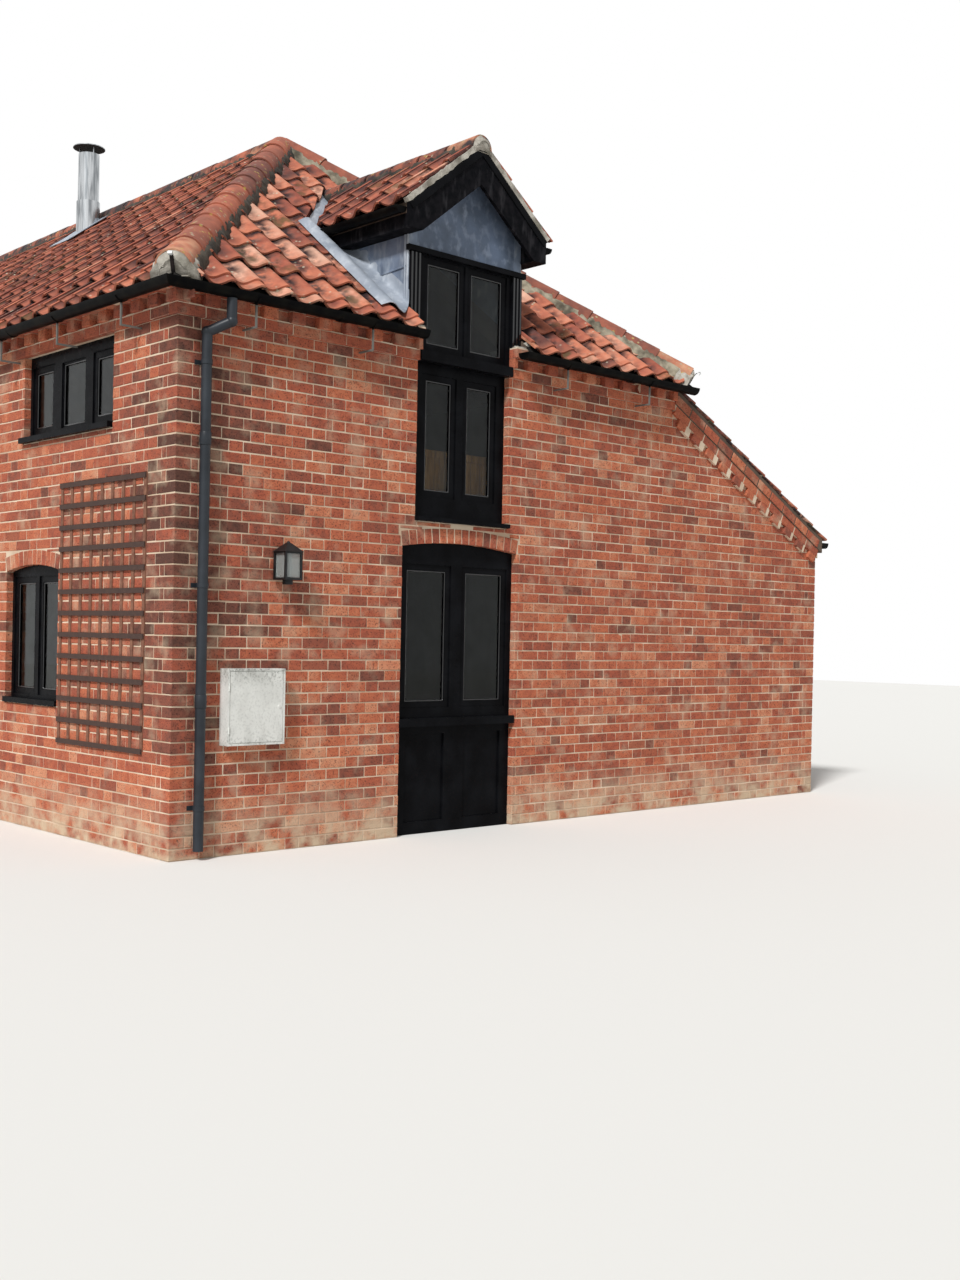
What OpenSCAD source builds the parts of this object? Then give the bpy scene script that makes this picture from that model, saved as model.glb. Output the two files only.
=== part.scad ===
// Converted hayloft barn: a hipped brick range with a loft dormer over stacked
// openings, corbelled eaves, and a lean-to beside it. Millimetres, +Z up.
// The origin is the middle of the main range's footprint, at ground level.
// The hipped front faces -Y and the lean-to stands on the +X side.

/* [Main range] */
// Width of the range across its hipped front
main_w = 4950; // [4700:10:6000]
// Length of the range from front to rear
main_l = 10800; // [10400:50:14000]
// Thickness of the solid brick walls
wall_t = 225; // [205:5:330]
// Height of one brick course with its joint
course_h = 76; // [72:1:84]
// Plain courses below the corbelled eaves
plain_courses = 46; // [45:1:50]
// Thickness of the ground slab
slab_t = 150; // [100:10:250]
// Thickness of the first floor, joists and boards
floor_t = 150; // [120:5:160]

/* [Corbelled eaves] */
// Projection of the lowest plain course
oversail_out = 28; // [10:1:50]
// Projection of the dentils
dentil_out = 56; // [30:1:80]
// Projection of the top course
top_out = 85; // [60:1:110]
// Width of a dentil, one brick header
dentil_w = 108; // [80:1:120]
// Distance from dentil to dentil
dentil_step = 225; // [180:5:300]

/* [Main roof] */
// Pitch of all four slopes
pitch = 38; // [34:0.5:42]
// Thickness of rafters, battens and lining
roof_t = 150; // [120:5:200]
// Depth left at the outer tip of a slope
roof_lip = 17; // [12:1:30]
// Depth of the tiling above the roof boards
tile_h = 50; // [40:1:70]
// Outer radius of the half-round hip and ridge tiles
hip_r = 125; // [100:1:140]

/* [Gutters and downpipe] */
// Width of the half-round gutters
gutter_w = 112; // [100:1:135]
// Thickness of the gutter's metal
gutter_wall = 4; // [3:0.5:6]
// Gap between the top course and the gutter
gutter_gap = 15; // [8:1:30]
// Height of the gutter's rim under the top of the eaves courses
rim_drop = 50; // [40:1:75]
// Reach of the front gutter past the corner over the lean-to
gutter_over = 110; // [80:5:200]
// Distance between the gutter's rise-and-fall brackets
bracket_step = 900; // [600:50:1200]
// Thickness of a bracket's spike and rod
spike_t = 12; // [8:1:20]
// Diameter of the downpipe
pipe_d = 68; // [60:1:80]
// Gap between downpipe and wall
pipe_gap = 25; // [15:1:40]
// Distance from the left corner to the downpipe's centre
pipe_in = 180; // [150:5:300]
// Sideways shift of its swan neck up to the gutter's outlet
pipe_shift = 120; // [0:5:140]
// Height of the pipe's open foot
pipe_foot = 60; // [30:5:150]
// Height of the lowest pipe clip
clip_low = 320; // [200:10:500]
// Distance from clip to clip
clip_step = 1435; // [1200:5:1450]

/* [Windows] */
// Width of the ground-floor opening in the front
door_w = 1170; // [1000:10:1180]
// Height of the springing of its arch
door_spring = 2128; // [2050:1:2135]
// Rise of the flat segmental arches
arch_rise = 45; // [30:1:50]
// Depth of an arch ring, half a brick
ring_t = 108; // [90:1:115]
// Height of the sill rail in the front opening
rail_z = 800; // [600:10:1000]
// Width of the loft opening above it
loft_w = 940; // [800:10:1000]
// Height of the loft opening's threshold
loft_z = 2318; // [2318:1:2360]
// Width of a three-light casement
casement_w = 1360; // [1200:10:1400]
// Height of its sill board's underside
casement_z = 2850; // [2700:10:2900]
// Distance from a corner to a casement's centre
casement_in = 1500; // [1300:10:1700]
// Width of an arched side window
arched_w = 855; // [700:5:900]
// Height of its sill
arched_z = 912; // [800:10:1100]
// Height of the springing of its arch
arched_spring = 1900; // [1800:10:1920]
// Distance from a corner to an arched window's centre
arched_in = 2000; // [1800:10:2200]
// Set-back of the frames behind the wall's face
recess = 50; // [30:5:90]
// Depth of a window frame
frame_d = 60; // [45:5:80]
// Width of frame and sash outside each dormer light
dormer_stile = 90; // [80:5:150]
// Width of the post between a pair of dormer lights
dormer_post = 115; // [110:5:180]
// Width of frame and sash outside each loft light
loft_stile = 135; // [100:5:160]
// Width of the post between the loft lights
loft_post = 160; // [100:5:180]
// Width of frame and sash outside each light of the front opening
door_stile = 100; // [80:5:130]
// Width of the post between them
door_post = 200; // [100:5:220]
// Width of frame and sash outside each arched light
arched_stile = 85; // [70:1:110]
// Width of the post between them
arched_post = 130; // [80:5:150]
// Width of frame and sash outside a casement's outer lights
casement_stile = 85; // [70:5:110]
// Half width of its middle light
casement_mid = 168; // [140:2:180]
// Width of the posts beside the middle light
casement_post = 168; // [100:2:180]
// Thickness of the glass
glass_t = 8; // [6:1:24]
// Width of a sash's stiles and rails
sash_w = 45; // [30:1:50]
// Height of frame and sash under the loft lights
loft_bottom = 235; // [200:5:280]
// Set-back of a sash behind its frame's face
sash_back = 10; // [5:1:20]
// Width of the bead round a fixed light
bead_w = 12; // [6:1:20]
// Depth of the sunk panels under the front opening's rail
panel_sink = 16; // [8:1:25]
// Height of the guard panel inside the loft opening
guard_h = 560; // [400:10:700]

/* [Dormer] */
// Width of the dormer over its corner boards
dormer_w = 1140; // [1100:10:1400]
// Height from the loft window's head board to the dormer's head
dormer_h = 748; // [650:2:850]
// Pitch of the dormer's roof
dormer_pitch = 39; // [37:0.5:42]
// Thickness of the dormer's roof
dormer_roof_t = 60; // [40:5:80]
// Height of the roof's top edge above the dormer's head, at the ridge
dormer_rise = 825; // [790:5:900]
// Thickness of a lead-clad cheek
cheek_t = 75; // [50:5:100]
// Half width over the boxed feet of the barge boards
barge_half = 700; // [690:5:760]
// Vertical depth of a barge board
barge_v = 285; // [200:5:320]
// Thickness of a barge board
barge_t = 32; // [20:1:45]
// Overhang of the barge boards in front of the gable
barge_out = 150; // [100:5:220]
// Height of the boxed feet above the dormer's head
foot_up = 80; // [60:5:120]
// Width of the dormer's small half-round gutters
dormer_gutter_w = 100; // [75:5:110]
// Projection of the corner boards beside the dormer window
corner_out = 20; // [10:1:30]
// Overhang of the dormer's head moulding past the corner boards
head_out = 30; // [10:5:40]
// Width of the lead bands on the tiles beside the cheeks
flashing_w = 250; // [150:10:320]

/* [Lean-to] */
// Width of the lean-to
lean_w = 2250; // [1900:10:2600]
// Length of the lean-to
lean_l = 5000; // [4000:50:5200]
// Pitch of its roof
lean_pitch = 27; // [22:0.5:30]
// Thickness of its roof
lean_roof_t = 120; // [80:5:160]
// Drop of its roof below the top of the main eaves
lean_drop = 49; // [45:1:200]
// Overhang of its verges
verge_out = 40; // [20:5:80]
// Overhang of its eaves
lean_eaves_out = 60; // [40:5:90]

/* [Fittings] */
// Diameter of the flue
flue_d = 210; // [150:5:260]
// Height of the flue above the roof at its foot
flue_h = 930; // [700:10:1200]
// Height of the wider collar round its foot
collar_h = 340; // [250:10:400]
// Width of the flue's cap beyond the pipe, all round
cap_out = 55; // [30:5:80]
// Height of the open gap under the cap
cap_gap = 60; // [40:5:90]
// Distance of the flue from the ridge
flue_off = 285; // [260:5:600]
// Distance of the flue behind the middle of the range
flue_back = 90; // [-2000:10:2000]
// Width of the meter box
meter_w = 450; // [400:10:520]
// Height of the meter box
meter_h = 505; // [450:5:600]
// Depth of the meter box
meter_d = 100; // [60:5:200]
// Distance from the left corner to the meter box
meter_in = 360; // [330:5:400]
// Height of the meter box's foot
meter_z = 730; // [600:10:900]
// Width of the frame round the meter box's door
meter_lip = 14; // [8:1:30]
// Width and depth of the groove between door and frame
meter_groove = 5; // [3:1:8]
// Height of the lantern's foot
lantern_z = 1800; // [1700:10:1850]
// Distance from the left corner to the lantern's centre
lantern_in = 820; // [700:10:900]
// Width of the lantern's glazed cage
lantern_w = 140; // [110:5:160]
// Height of the cage
lantern_h = 190; // [150:5:220]
// Width of the cage's corner posts
lantern_post = 14; // [8:1:20]
// Width of the trellis
trellis_w = 1200; // [900:150:1350]
// Height of the trellis
trellis_h = 1850; // [1550:150:2150]
// Distance between the trellis's uprights
trellis_step = 150; // [120:5:170]
// Distance between its cross laths
trellis_mesh = 150; // [120:10:200]
// Width of a trellis lath
lath_w = 34; // [18:1:38]
// Distance from the corner to the trellis
trellis_in = 340; // [300:10:400]
// Height of the trellis's foot
trellis_z = 660; // [600:10:700]

/* [Hidden] */

// Colours as the photograph shows them
brick_red = "#a5553f";
tile_red = "#b5613f";
black_paint = "#1d1e20";
lead_grey = "#8f979f";
floor_tan = "#b08a5a";
concrete_grey = "#a9a59c";

// Main range
half_w = main_w / 2;
half_l = main_l / 2;
front_y = -half_l;
wall_top = plain_courses * course_h;
eaves_top = wall_top + 3 * course_h;
floor_top = loft_z + 12;
seam = 1;

// Main roof: heights of the boards' top face over the wall's outer face and at the ridge
roof_edge = eaves_top + roof_lip + top_out * tan(pitch);
roof_apex = roof_edge + half_w * tan(pitch);
roof_v = roof_t / cos(pitch);
seat_d = (eaves_top - roof_edge + roof_v) / tan(pitch);
hip_sink = 40;
hip_gap = 0.3;

// Gutters
gutter_r = gutter_w / 2;
gutter_d = -(top_out + gutter_gap + gutter_r);
rim_z = eaves_top - rim_drop;
spike_z = wall_top - course_h / 2;
lip_gap = 35;
joint_gap = 0.3;
left_gutter_end = -loft_w / 2 - 60;
right_gutter_start = loft_w / 2;

// Dormer
dormer_x = dormer_w / 2;
cheek_x = dormer_x - cheek_t;
dormer_z = wall_top + course_h;
head_z = dormer_z + dormer_h;
dormer_apex = head_z + dormer_rise;
dormer_v = dormer_roof_t / cos(dormer_pitch);
foot_z = head_z + foot_up;
dormer_gutter_r = dormer_gutter_w / 2;

// Lean-to
lean_x = half_w + lean_w;
lean_top = eaves_top - lean_drop;
lean_v = lean_roof_t / cos(lean_pitch);
lean_end = front_y + lean_l;
rake_band = 76;

// Shared small sizes
sill_t = 40;
sill_out = 45;
big = 20000;

function roof_z(d) = roof_edge + d * tan(pitch);
function dormer_top(x) = dormer_apex - x * tan(dormer_pitch);
function dormer_under(x) = dormer_top(x) - dormer_v;
function lean_z(x) = lean_top - (x - half_w) * tan(lean_pitch);
function lean_under(x) = lean_z(x) - lean_v;
function arc_r(w, rise) = (w * w / 4 + rise * rise) / (2 * rise);

// Local frame of one side: X along the wall to the right as seen from outside,
// Y into the building from the wall's outer face, Z up
module on_side(side) {
    turn = side == "front" ? 0 : side == "right" ? 90 : side == "rear" ? 180 : 270;
    out = side == "front" || side == "rear" ? half_l : half_w;
    rotate([0, 0, turn]) translate([0, -out, 0]) children();
}

// Half of a side's length
function side_half(side) = side == "front" || side == "rear" ? half_w : half_l;

// An upright outline in the local X-Z plane, made solid from depth y0 by t
module upright(y0, t) {
    translate([0, y0 + t, 0]) rotate([90, 0, 0]) linear_extrude(t) children();
}

// A section in the local Y-Z plane, run along the side
module run(from, to) {
    translate([from, 0, 0]) rotate([90, 0, 90]) linear_extrude(to - from) children();
}

// A run along a whole side, mitred at the corners and hips
module mitred(side, reach, deep) {
    h = side_half(side);
    in = min(deep, h);
    ends = h - in < 0.001 ? [[0, in]] : [[h - in, in], [in - h, in]];
    intersection() {
        run(-h - reach, h + reach) children();
        linear_extrude(big) polygon(concat([[-h - reach, -reach], [h + reach, -reach]], ends));
    }
}

// Outlines of openings and arch rings
module arched_hole(w, z0, spring, rise) {
    r = arc_r(w, rise);
    translate([-w / 2, z0]) square([w, spring - z0 + 0.01]);
    intersection() {
        translate([0, spring + rise - r]) circle(r, $fn = 360);
        translate([-w / 2, spring]) square([w, rise + 1]);
    }
}

module ring_wedge(w, spring, rise, depth) {
    r = arc_r(w, rise);
    a = asin(w / 2 / r);
    far = 1.05 * (r + depth) / cos(a);
    cz = spring + rise - r;
    polygon([[0, cz], [-far * sin(a), cz + far * cos(a)], [far * sin(a), cz + far * cos(a)]]);
}

module arch_ring(w, spring, rise, depth) {
    r = arc_r(w, rise);
    intersection() {
        translate([0, spring + rise - r]) difference() {
            circle(r + depth, $fn = 360);
            circle(r, $fn = 360);
        }
        ring_wedge(w, spring, rise, depth);
    }
}

// The cut that takes an arched opening and the ring above it
module arch_cut(w, z0, spring, rise, depth) {
    r = arc_r(w, rise);
    translate([-w / 2, z0]) square([w, spring + rise / 2 - z0]);
    intersection() {
        translate([0, spring + rise - r]) circle(r + depth, $fn = 360);
        ring_wedge(w, spring, rise, depth);
        translate([-w, spring]) square([2 * w, rise + depth + 1]);
    }
}

// The outline of a side wall with its casements and arched windows cut out
module wall_outline(from, to, casement_at, arched_at) {
    difference() {
        translate([from, 0]) square([to - from, wall_top]);
        for (x = casement_at)
            translate([x - casement_w / 2, casement_z]) square([casement_w, wall_top]);
        for (x = arched_at) translate([x, 0])
            arch_cut(arched_w, arched_z, arched_spring, arch_rise, ring_t);
    }
}

// Window places along each side, in that side's local X
left_casements = [half_l - casement_in, casement_in - half_l];
left_arched = [half_l - arched_in, arched_in - half_l];
right_casements = [half_l - casement_in];
right_arched = [half_l - arched_in];
rear_middle = [0];
lean_window = lean_l / 2;

module ground_slab() {
    color(concrete_grey) {
        translate([-half_w + wall_t, front_y + wall_t, 0])
            cube([main_w - 2 * wall_t, main_l - 2 * wall_t, slab_t]);
        translate([half_w, front_y + wall_t, 0])
            cube([lean_w - wall_t, lean_l - 2 * wall_t, slab_t]);
    }
}

module first_floor() {
    color(floor_tan) translate([-half_w + wall_t, front_y + wall_t, floor_top - floor_t])
        cube([main_w - 2 * wall_t, main_l - 2 * wall_t, floor_t]);
}

// One side of the front wall, from the corner to the stacked openings
module front_wall_half() {
    on_side("front") upright(0, wall_t) difference() {
        translate([-half_w + wall_t, 0]) square([half_w - wall_t, wall_top]);
        arch_cut(door_w, -1, door_spring, arch_rise, ring_t);
        translate([-loft_w / 2, door_spring]) square([loft_w, wall_top]);
    }
}

// The arch ring with the brick bed that carries the loft sill
module front_arch_outline() {
    arch_ring(door_w, door_spring, arch_rise, ring_t);
    difference() {
        translate([-loft_w / 2, door_spring]) square([loft_w, loft_z - door_spring]);
        translate([0, door_spring + arch_rise - arc_r(door_w, arch_rise)])
            circle(arc_r(door_w, arch_rise), $fn = 360);
    }
}

module front_wall_left() { color(brick_red) front_wall_half(); }

module front_wall_right() { color(brick_red) mirror([1, 0, 0]) front_wall_half(); }

module front_arch() { color("#b0604a") on_side("front") upright(0, wall_t) front_arch_outline(); }

module left_wall() {
    color(brick_red) on_side("left") upright(0, wall_t)
        wall_outline(-half_l, half_l, left_casements, left_arched);
}

module right_wall() {
    color(brick_red) on_side("right") upright(0, wall_t)
        wall_outline(-half_l, half_l, right_casements, right_arched);
}

module rear_wall() {
    color(brick_red) on_side("rear") upright(0, wall_t)
        wall_outline(-half_w + wall_t, half_w - wall_t, rear_middle, rear_middle);
}

module place_arched() {
    for (x = left_arched) on_side("left") translate([x, 0, 0]) children();
    for (x = right_arched) on_side("right") translate([x, 0, 0]) children();
    on_side("rear") children();
    translate([lean_x, front_y + lean_window, 0]) rotate([0, 0, 90]) children();
}

module place_casements() {
    for (x = left_casements) on_side("left") translate([x, 0, 0]) children();
    for (x = right_casements) on_side("right") translate([x, 0, 0]) children();
    on_side("rear") children();
}

module window_arches() {
    color("#b0604a") place_arched() upright(0, wall_t)
        arch_ring(arched_w, arched_spring, arch_rise, ring_t);
}

// Section of the eaves courses, and the dentils that fill the middle course
module eaves_run(side) {
    mitred(side, top_out, wall_t) {
        translate([-oversail_out, wall_top]) square([oversail_out + wall_t, course_h]);
        translate([0, wall_top]) square([wall_t, 3 * course_h]);
        translate([-top_out, wall_top + 2 * course_h]) square([top_out + wall_t, course_h]);
    }
    end = side_half(side) + dentil_out - dentil_w / 2;
    count = round(2 * end / dentil_step);
    intersection() {
        for (i = [0 : count])
            translate([-end + i * 2 * end / count - dentil_w / 2, -dentil_out, wall_top + course_h])
                cube([dentil_w, dentil_out + seam, course_h]);
        mitred(side, top_out, wall_t)
            translate([-top_out, wall_top]) square([top_out + wall_t, 3 * course_h]);
    }
}

module front_eaves() {
    color(brick_red) on_side("front") difference() {
        eaves_run("front");
        translate([-loft_w / 2, -half_w, 0]) cube([loft_w, main_w, big]);
        translate([half_w, -half_w, 0]) cube([main_w, main_w, big]);
    }
}

module left_eaves() { color(brick_red) on_side("left") eaves_run("left"); }

// The lean-to's roof abuts plain brickwork, so the courses are flush along it
module right_eaves() {
    color(brick_red) difference() {
        on_side("right") eaves_run("right");
        translate([half_w, front_y - main_w, 0])
            cube([main_w, main_w + lean_l + verge_out, eaves_top + 1]);
    }
}

module rear_eaves() { color(brick_red) on_side("rear") eaves_run("rear"); }

// One slope of the main roof, seated on the wall's top by a flat cut
module roof_slope(side) {
    mitred(side, top_out, half_w) polygon([
        [-top_out, eaves_top],
        [-top_out, eaves_top + roof_lip],
        [half_w, roof_apex],
        [half_w, roof_apex - roof_v],
        [seat_d, eaves_top],
    ]);
}

// Everything below the top face of one slope
module under_roof(side) {
    mitred(side, hip_r + top_out, half_w) polygon([
        [-2 * half_w, 0],
        [-2 * half_w, roof_z(-2 * half_w)],
        [half_w + 1, roof_z(half_w + 1)],
        [half_w + 1, 0],
    ]);
}

module under_front_plane() {
    on_side("front") run(-main_w, main_w) polygon([
        [-main_w, 0],
        [-main_w, roof_z(-main_w)],
        [main_w, roof_z(main_w)],
        [main_w, 0],
    ]);
}

module roof_front() {
    color(tile_red) difference() {
        on_side("front") roof_slope("front");
        translate([-dormer_x, front_y - top_out - 1, 0])
            cube([dormer_w, top_out + 1, big]);
        dormer_inside();
    }
}

// The room inside the dormer, between the cheeks and under its roof
module dormer_inside() {
    translate([0, front_y, 0]) upright(0, main_w) polygon([
        [-cheek_x, 0],
        [-cheek_x, dormer_under(cheek_x)],
        [0, dormer_under(0)],
        [cheek_x, dormer_under(cheek_x)],
        [cheek_x, 0],
    ]);
}

module roof_left() { color(tile_red) on_side("left") roof_slope("left"); }

module roof_right() { color(tile_red) on_side("right") roof_slope("right"); }

module roof_rear() { color(tile_red) on_side("rear") roof_slope("rear"); }

// Half-round tiles bedded along the ridge, down to the boards
module ridge_tiles() {
    len = main_l - main_w;
    color("#6d4a3c") difference() {
        translate([0, -len / 2, roof_apex + tile_h - hip_r / 2]) rotate([-90, 0, 0])
            cylinder(r = hip_r, h = len, $fn = 48);
        on_side("left") under_roof("left");
        on_side("right") under_roof("right");
    }
}

// Half-round tiles down one hip, from the ridge's end to the eaves corner
module hip_run(sx, sy) {
    reach = half_w + top_out;
    rise = reach * tan(pitch);
    len = sqrt(2 * reach * reach + rise * rise);
    tilt = atan2(sqrt(2) * reach, rise);
    end_y = half_l - half_w;
    intersection() {
        difference() {
            translate([0, sy * end_y, roof_apex + tile_h - hip_sink])
                rotate([0, 0, atan2(sy, sx)]) rotate([0, 180 - tilt, 0])
                    cylinder(r = hip_r, h = len, $fn = 48);
            on_side(sx < 0 ? "left" : "right") under_roof(sx < 0 ? "left" : "right");
            on_side(sy < 0 ? "front" : "rear") under_roof(sy < 0 ? "front" : "rear");
        }
        translate([sx < 0 ? -main_w - hip_gap : hip_gap, sy < 0 ? -end_y - main_w : end_y, 0])
            cube([main_w, main_w, big]);
    }
}

module front_hip_tiles() {
    color("#a85f45") {
        hip_run(-1, -1);
        hip_run(1, -1);
    }
}

module rear_hip_tiles() {
    color("#a85f45") {
        hip_run(-1, 1);
        hip_run(1, 1);
    }
}

// Lead-clad side walls, standing on the roof boards under the dormer's slopes
module dormer_cheeks() {
    color(lead_grey) difference() {
        for (s = [-1, 1]) translate([0, front_y, 0]) upright(0, half_w) polygon([
            [s * cheek_x, 0],
            [s * dormer_x, 0],
            [s * dormer_x, dormer_under(dormer_x)],
            [s * cheek_x, dormer_under(cheek_x)],
        ]);
        under_front_plane();
    }
}

module dormer_gable() {
    color(lead_grey) translate([0, front_y, 0]) upright(0, frame_d) polygon([
        [-cheek_x, head_z],
        [-cheek_x, dormer_under(cheek_x)],
        [0, dormer_under(0)],
        [cheek_x, dormer_under(cheek_x)],
        [cheek_x, head_z],
    ]);
}

module dormer_roof() {
    color(tile_red) difference() {
        translate([0, front_y - barge_out + barge_t, 0]) upright(0, main_w) polygon([
            [-barge_half, dormer_under(barge_half)],
            [-barge_half, dormer_top(barge_half)],
            [0, dormer_apex],
            [barge_half, dormer_top(barge_half)],
            [barge_half, dormer_under(barge_half)],
            [0, dormer_under(0)],
        ]);
        under_front_plane();
    }
}

module dormer_ridge() {
    color("#6d4a3c") difference() {
        translate([0, front_y - barge_out, dormer_apex + tile_h - hip_r / 2]) rotate([-90, 0, 0])
            cylinder(r = 0.8 * hip_r, h = main_w, $fn = 48);
        translate([0, front_y - main_w, 0]) upright(0, 2 * main_w) polygon([
            [-main_w, 0],
            [-main_w, dormer_top(main_w)],
            [0, dormer_apex],
            [main_w, dormer_top(main_w)],
            [main_w, 0],
        ]);
        under_front_plane();
    }
}

// The pair of barge boards, mitred at the apex, with level boxed feet
module barge_boards() {
    inner = dormer_apex - barge_v;
    foot_x = (inner - foot_z) / tan(dormer_pitch);
    color(black_paint) translate([0, front_y - barge_out, 0]) upright(0, barge_t) polygon([
        [0, dormer_apex],
        [barge_half, dormer_top(barge_half)],
        [barge_half, foot_z],
        [foot_x, foot_z],
        [0, inner],
        [-foot_x, foot_z],
        [-barge_half, foot_z],
        [-barge_half, dormer_top(barge_half)],
    ]);
}

// Boxed soffits along the dormer's eaves
module dormer_soffits() {
    color(black_paint) difference() {
        for (s = [-1, 1]) translate([0, front_y - barge_out + barge_t, 0])
            upright(0, half_w) polygon([
                [s * dormer_x, foot_z],
                [s * barge_half, foot_z],
                [s * barge_half, dormer_under(barge_half)],
                [s * dormer_x, dormer_under(dormer_x)],
            ]);
        under_front_plane();
    }
}

// One light's outline, grown by a margin: a light is [x from, x to, z from, z to, sash width]
module light(l, grow) {
    translate([l[0] - grow, l[2] - grow])
        square([l[1] - l[0] + 2 * grow, l[3] - l[2] + 2 * grow]);
}

// A frame whose outline is the child, with a sash set back in each light
module sashed(y0, lights) {
    upright(y0, frame_d) difference() {
        children();
        for (l = lights) light(l, l[4]);
    }
    upright(y0 + sash_back, frame_d - 2 * sash_back) for (l = lights) difference() {
        light(l, l[4] + seam);
        light(l, 0);
    }
}

module frame(w, z0, z1, lights) {
    sashed(recess, lights) translate([-w / 2, z0]) square([w, z1 - z0]);
}

// Panes set in the middle of the frame's depth
module panes(y0, lights) {
    for (l = lights)
        translate([l[0], y0 + (frame_d - glass_t) / 2, l[2]])
            cube([l[1] - l[0], glass_t, l[3] - l[2]]);
}

// Two lights, left and right of a middle post
function pair(clear, post, z0, z1) =
    [[-clear, -post / 2, z0, z1, sash_w], [post / 2, clear, z0, z1, sash_w]];

// Rails below and above the glass of each kind of window
dormer_lights = pair(loft_w / 2 - dormer_stile, dormer_post, dormer_z + 60, head_z - 98);
loft_lights = pair(loft_w / 2 - loft_stile, loft_post, loft_z + loft_bottom, wall_top - 120);
ground_lights = pair(door_w / 2 - door_stile, door_post, rail_z + 180, door_spring - 170);
arched_lights = pair(arched_w / 2 - arched_stile, arched_post, arched_z + 110, arched_spring - 85);
side_light = casement_mid + casement_post;
casement_clear = casement_w / 2 - casement_stile;
casement_lights = [
    [-casement_clear, -side_light, casement_z + 110, wall_top - 125, sash_w],
    [-casement_mid, casement_mid, casement_z + 90, wall_top - 105, bead_w],
    [side_light, casement_clear, casement_z + 110, wall_top - 125, sash_w],
];

// The dormer window: its frame stands in the loft opening and widens above the eaves,
// with corner boards and a head moulding on the cheeks' ends
module dormer_window() {
    board_h = head_z - eaves_top;
    color(black_paint) on_side("front") {
        sashed(0, dormer_lights) {
            translate([-loft_w / 2, dormer_z]) square([loft_w, dormer_h]);
            translate([-cheek_x, eaves_top]) square([2 * cheek_x, board_h]);
        }
        for (s = [-1, 1]) {
            translate([min(s * loft_w / 2, s * dormer_x), -corner_out, eaves_top])
                cube([dormer_x - loft_w / 2, corner_out, board_h]);
            translate([min(s * loft_w / 2, s * cheek_x), -corner_out, eaves_top])
                cube([cheek_x - loft_w / 2, corner_out + seam, board_h]);
        }
        translate([-dormer_x - head_out, -corner_out - 15, head_z - sill_t])
            cube([dormer_w + 2 * head_out, corner_out + 15, sill_t]);
        translate([-cheek_x, -corner_out, head_z - sill_t]) cube([2 * cheek_x, corner_out + seam, sill_t]);
    }
}

module loft_window() {
    color(black_paint) on_side("front") {
        frame(loft_w, loft_z, wall_top, loft_lights);
        translate([-loft_w / 2, -sill_out, loft_z]) cube([loft_w, sill_out + recess + seam, 32]);
        translate([-loft_w / 2, -sill_out, wall_top])
            cube([loft_w, sill_out + recess + frame_d, course_h]);
    }
}

module ground_window() {
    color(black_paint) on_side("front") {
        difference() {
            sashed(recess, ground_lights) arched_hole(door_w, 0, door_spring, arch_rise);
            for (l = ground_lights)
                translate([l[0], recess - 1, 0]) upright(0, panel_sink + 1)
                    translate([0, 90]) square([l[1] - l[0], rail_z - 150]);
        }
        translate([-door_w / 2, -10, rail_z]) cube([door_w, 10 + recess + seam, 60]);
    }
}

module casements() {
    color(black_paint) place_casements() {
        frame(casement_w, casement_z, wall_top, casement_lights);
        translate([-casement_w / 2, -sill_out, casement_z])
            cube([casement_w, sill_out + recess + seam, sill_t]);
    }
}

module arched_windows() {
    color(black_paint) place_arched() {
        sashed(recess, arched_lights) arched_hole(arched_w, arched_z, arched_spring, arch_rise);
        translate([-arched_w / 2, -20, arched_z])
            cube([arched_w, 20 + recess + seam, sill_t]);
    }
}

module ground_glass() {
    color("#3c4448") {
        on_side("front") panes(recess, ground_lights);
        place_arched() panes(recess, arched_lights);
    }
}

module upper_glass() {
    color("#4a565e") {
        on_side("front") {
            panes(recess, loft_lights);
            panes(0, dormer_lights);
        }
        place_casements() panes(recess, casement_lights);
    }
}

// Framed pine panel standing on the first floor behind the loft opening
module guard_panel() {
    color("#a9743a") on_side("front") translate([-loft_w / 2 - 30, wall_t, floor_top])
        cube([loft_w + 60, 30, guard_h]);
}

// Lead-covered fillets beside the cheeks, up to the top of the tiles
module lead_flashings() {
    band = tile_h + 10;
    color(lead_grey) on_side("front") for (s = [-1, 1])
        intersection() {
            run(min(s * dormer_x, s * (dormer_x + flashing_w)),
                max(s * dormer_x, s * (dormer_x + flashing_w)))
                polygon([
                    [-top_out, roof_z(-top_out)],
                    [-top_out, roof_z(-top_out) + band],
                    [half_w, roof_apex + band],
                    [half_w, roof_apex],
                ]);
            upright(-main_w, 2 * main_w)
                translate([-main_w, 0]) square([2 * main_w, foot_z - 12]);
        }
}

// The half gable of the lean-to, with its raking courses and dentils
module lean_gable() {
    lean_outline = [
        [half_w, 0],
        [half_w, lean_under(half_w)],
        [lean_x, lean_under(lean_x)],
        [lean_x, 0],
    ];
    upright(0, wall_t) polygon(lean_outline);
}

module rake() {
    drop = rake_band / cos(lean_pitch);
    step = dentil_step * cos(lean_pitch);
    upright(-oversail_out, oversail_out + seam) polygon([
        [half_w, lean_under(half_w) - drop],
        [half_w, lean_under(half_w)],
        [lean_x, lean_under(lean_x)],
        [lean_x, lean_under(lean_x) - drop],
    ]);
    for (x = [half_w + step / 2 : step : lean_x - step])
        translate([x, -oversail_out, lean_under(x) - 2 * drop])
            rotate([0, lean_pitch, 0])
                cube([dentil_w, oversail_out + seam, drop + 10]);
}

module lean_front_wall() {
    color(brick_red) translate([0, front_y, 0]) {
        lean_gable();
        rake();
    }
}

module lean_rear_wall() { color(brick_red) translate([0, lean_end - wall_t, 0]) lean_gable(); }

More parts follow.
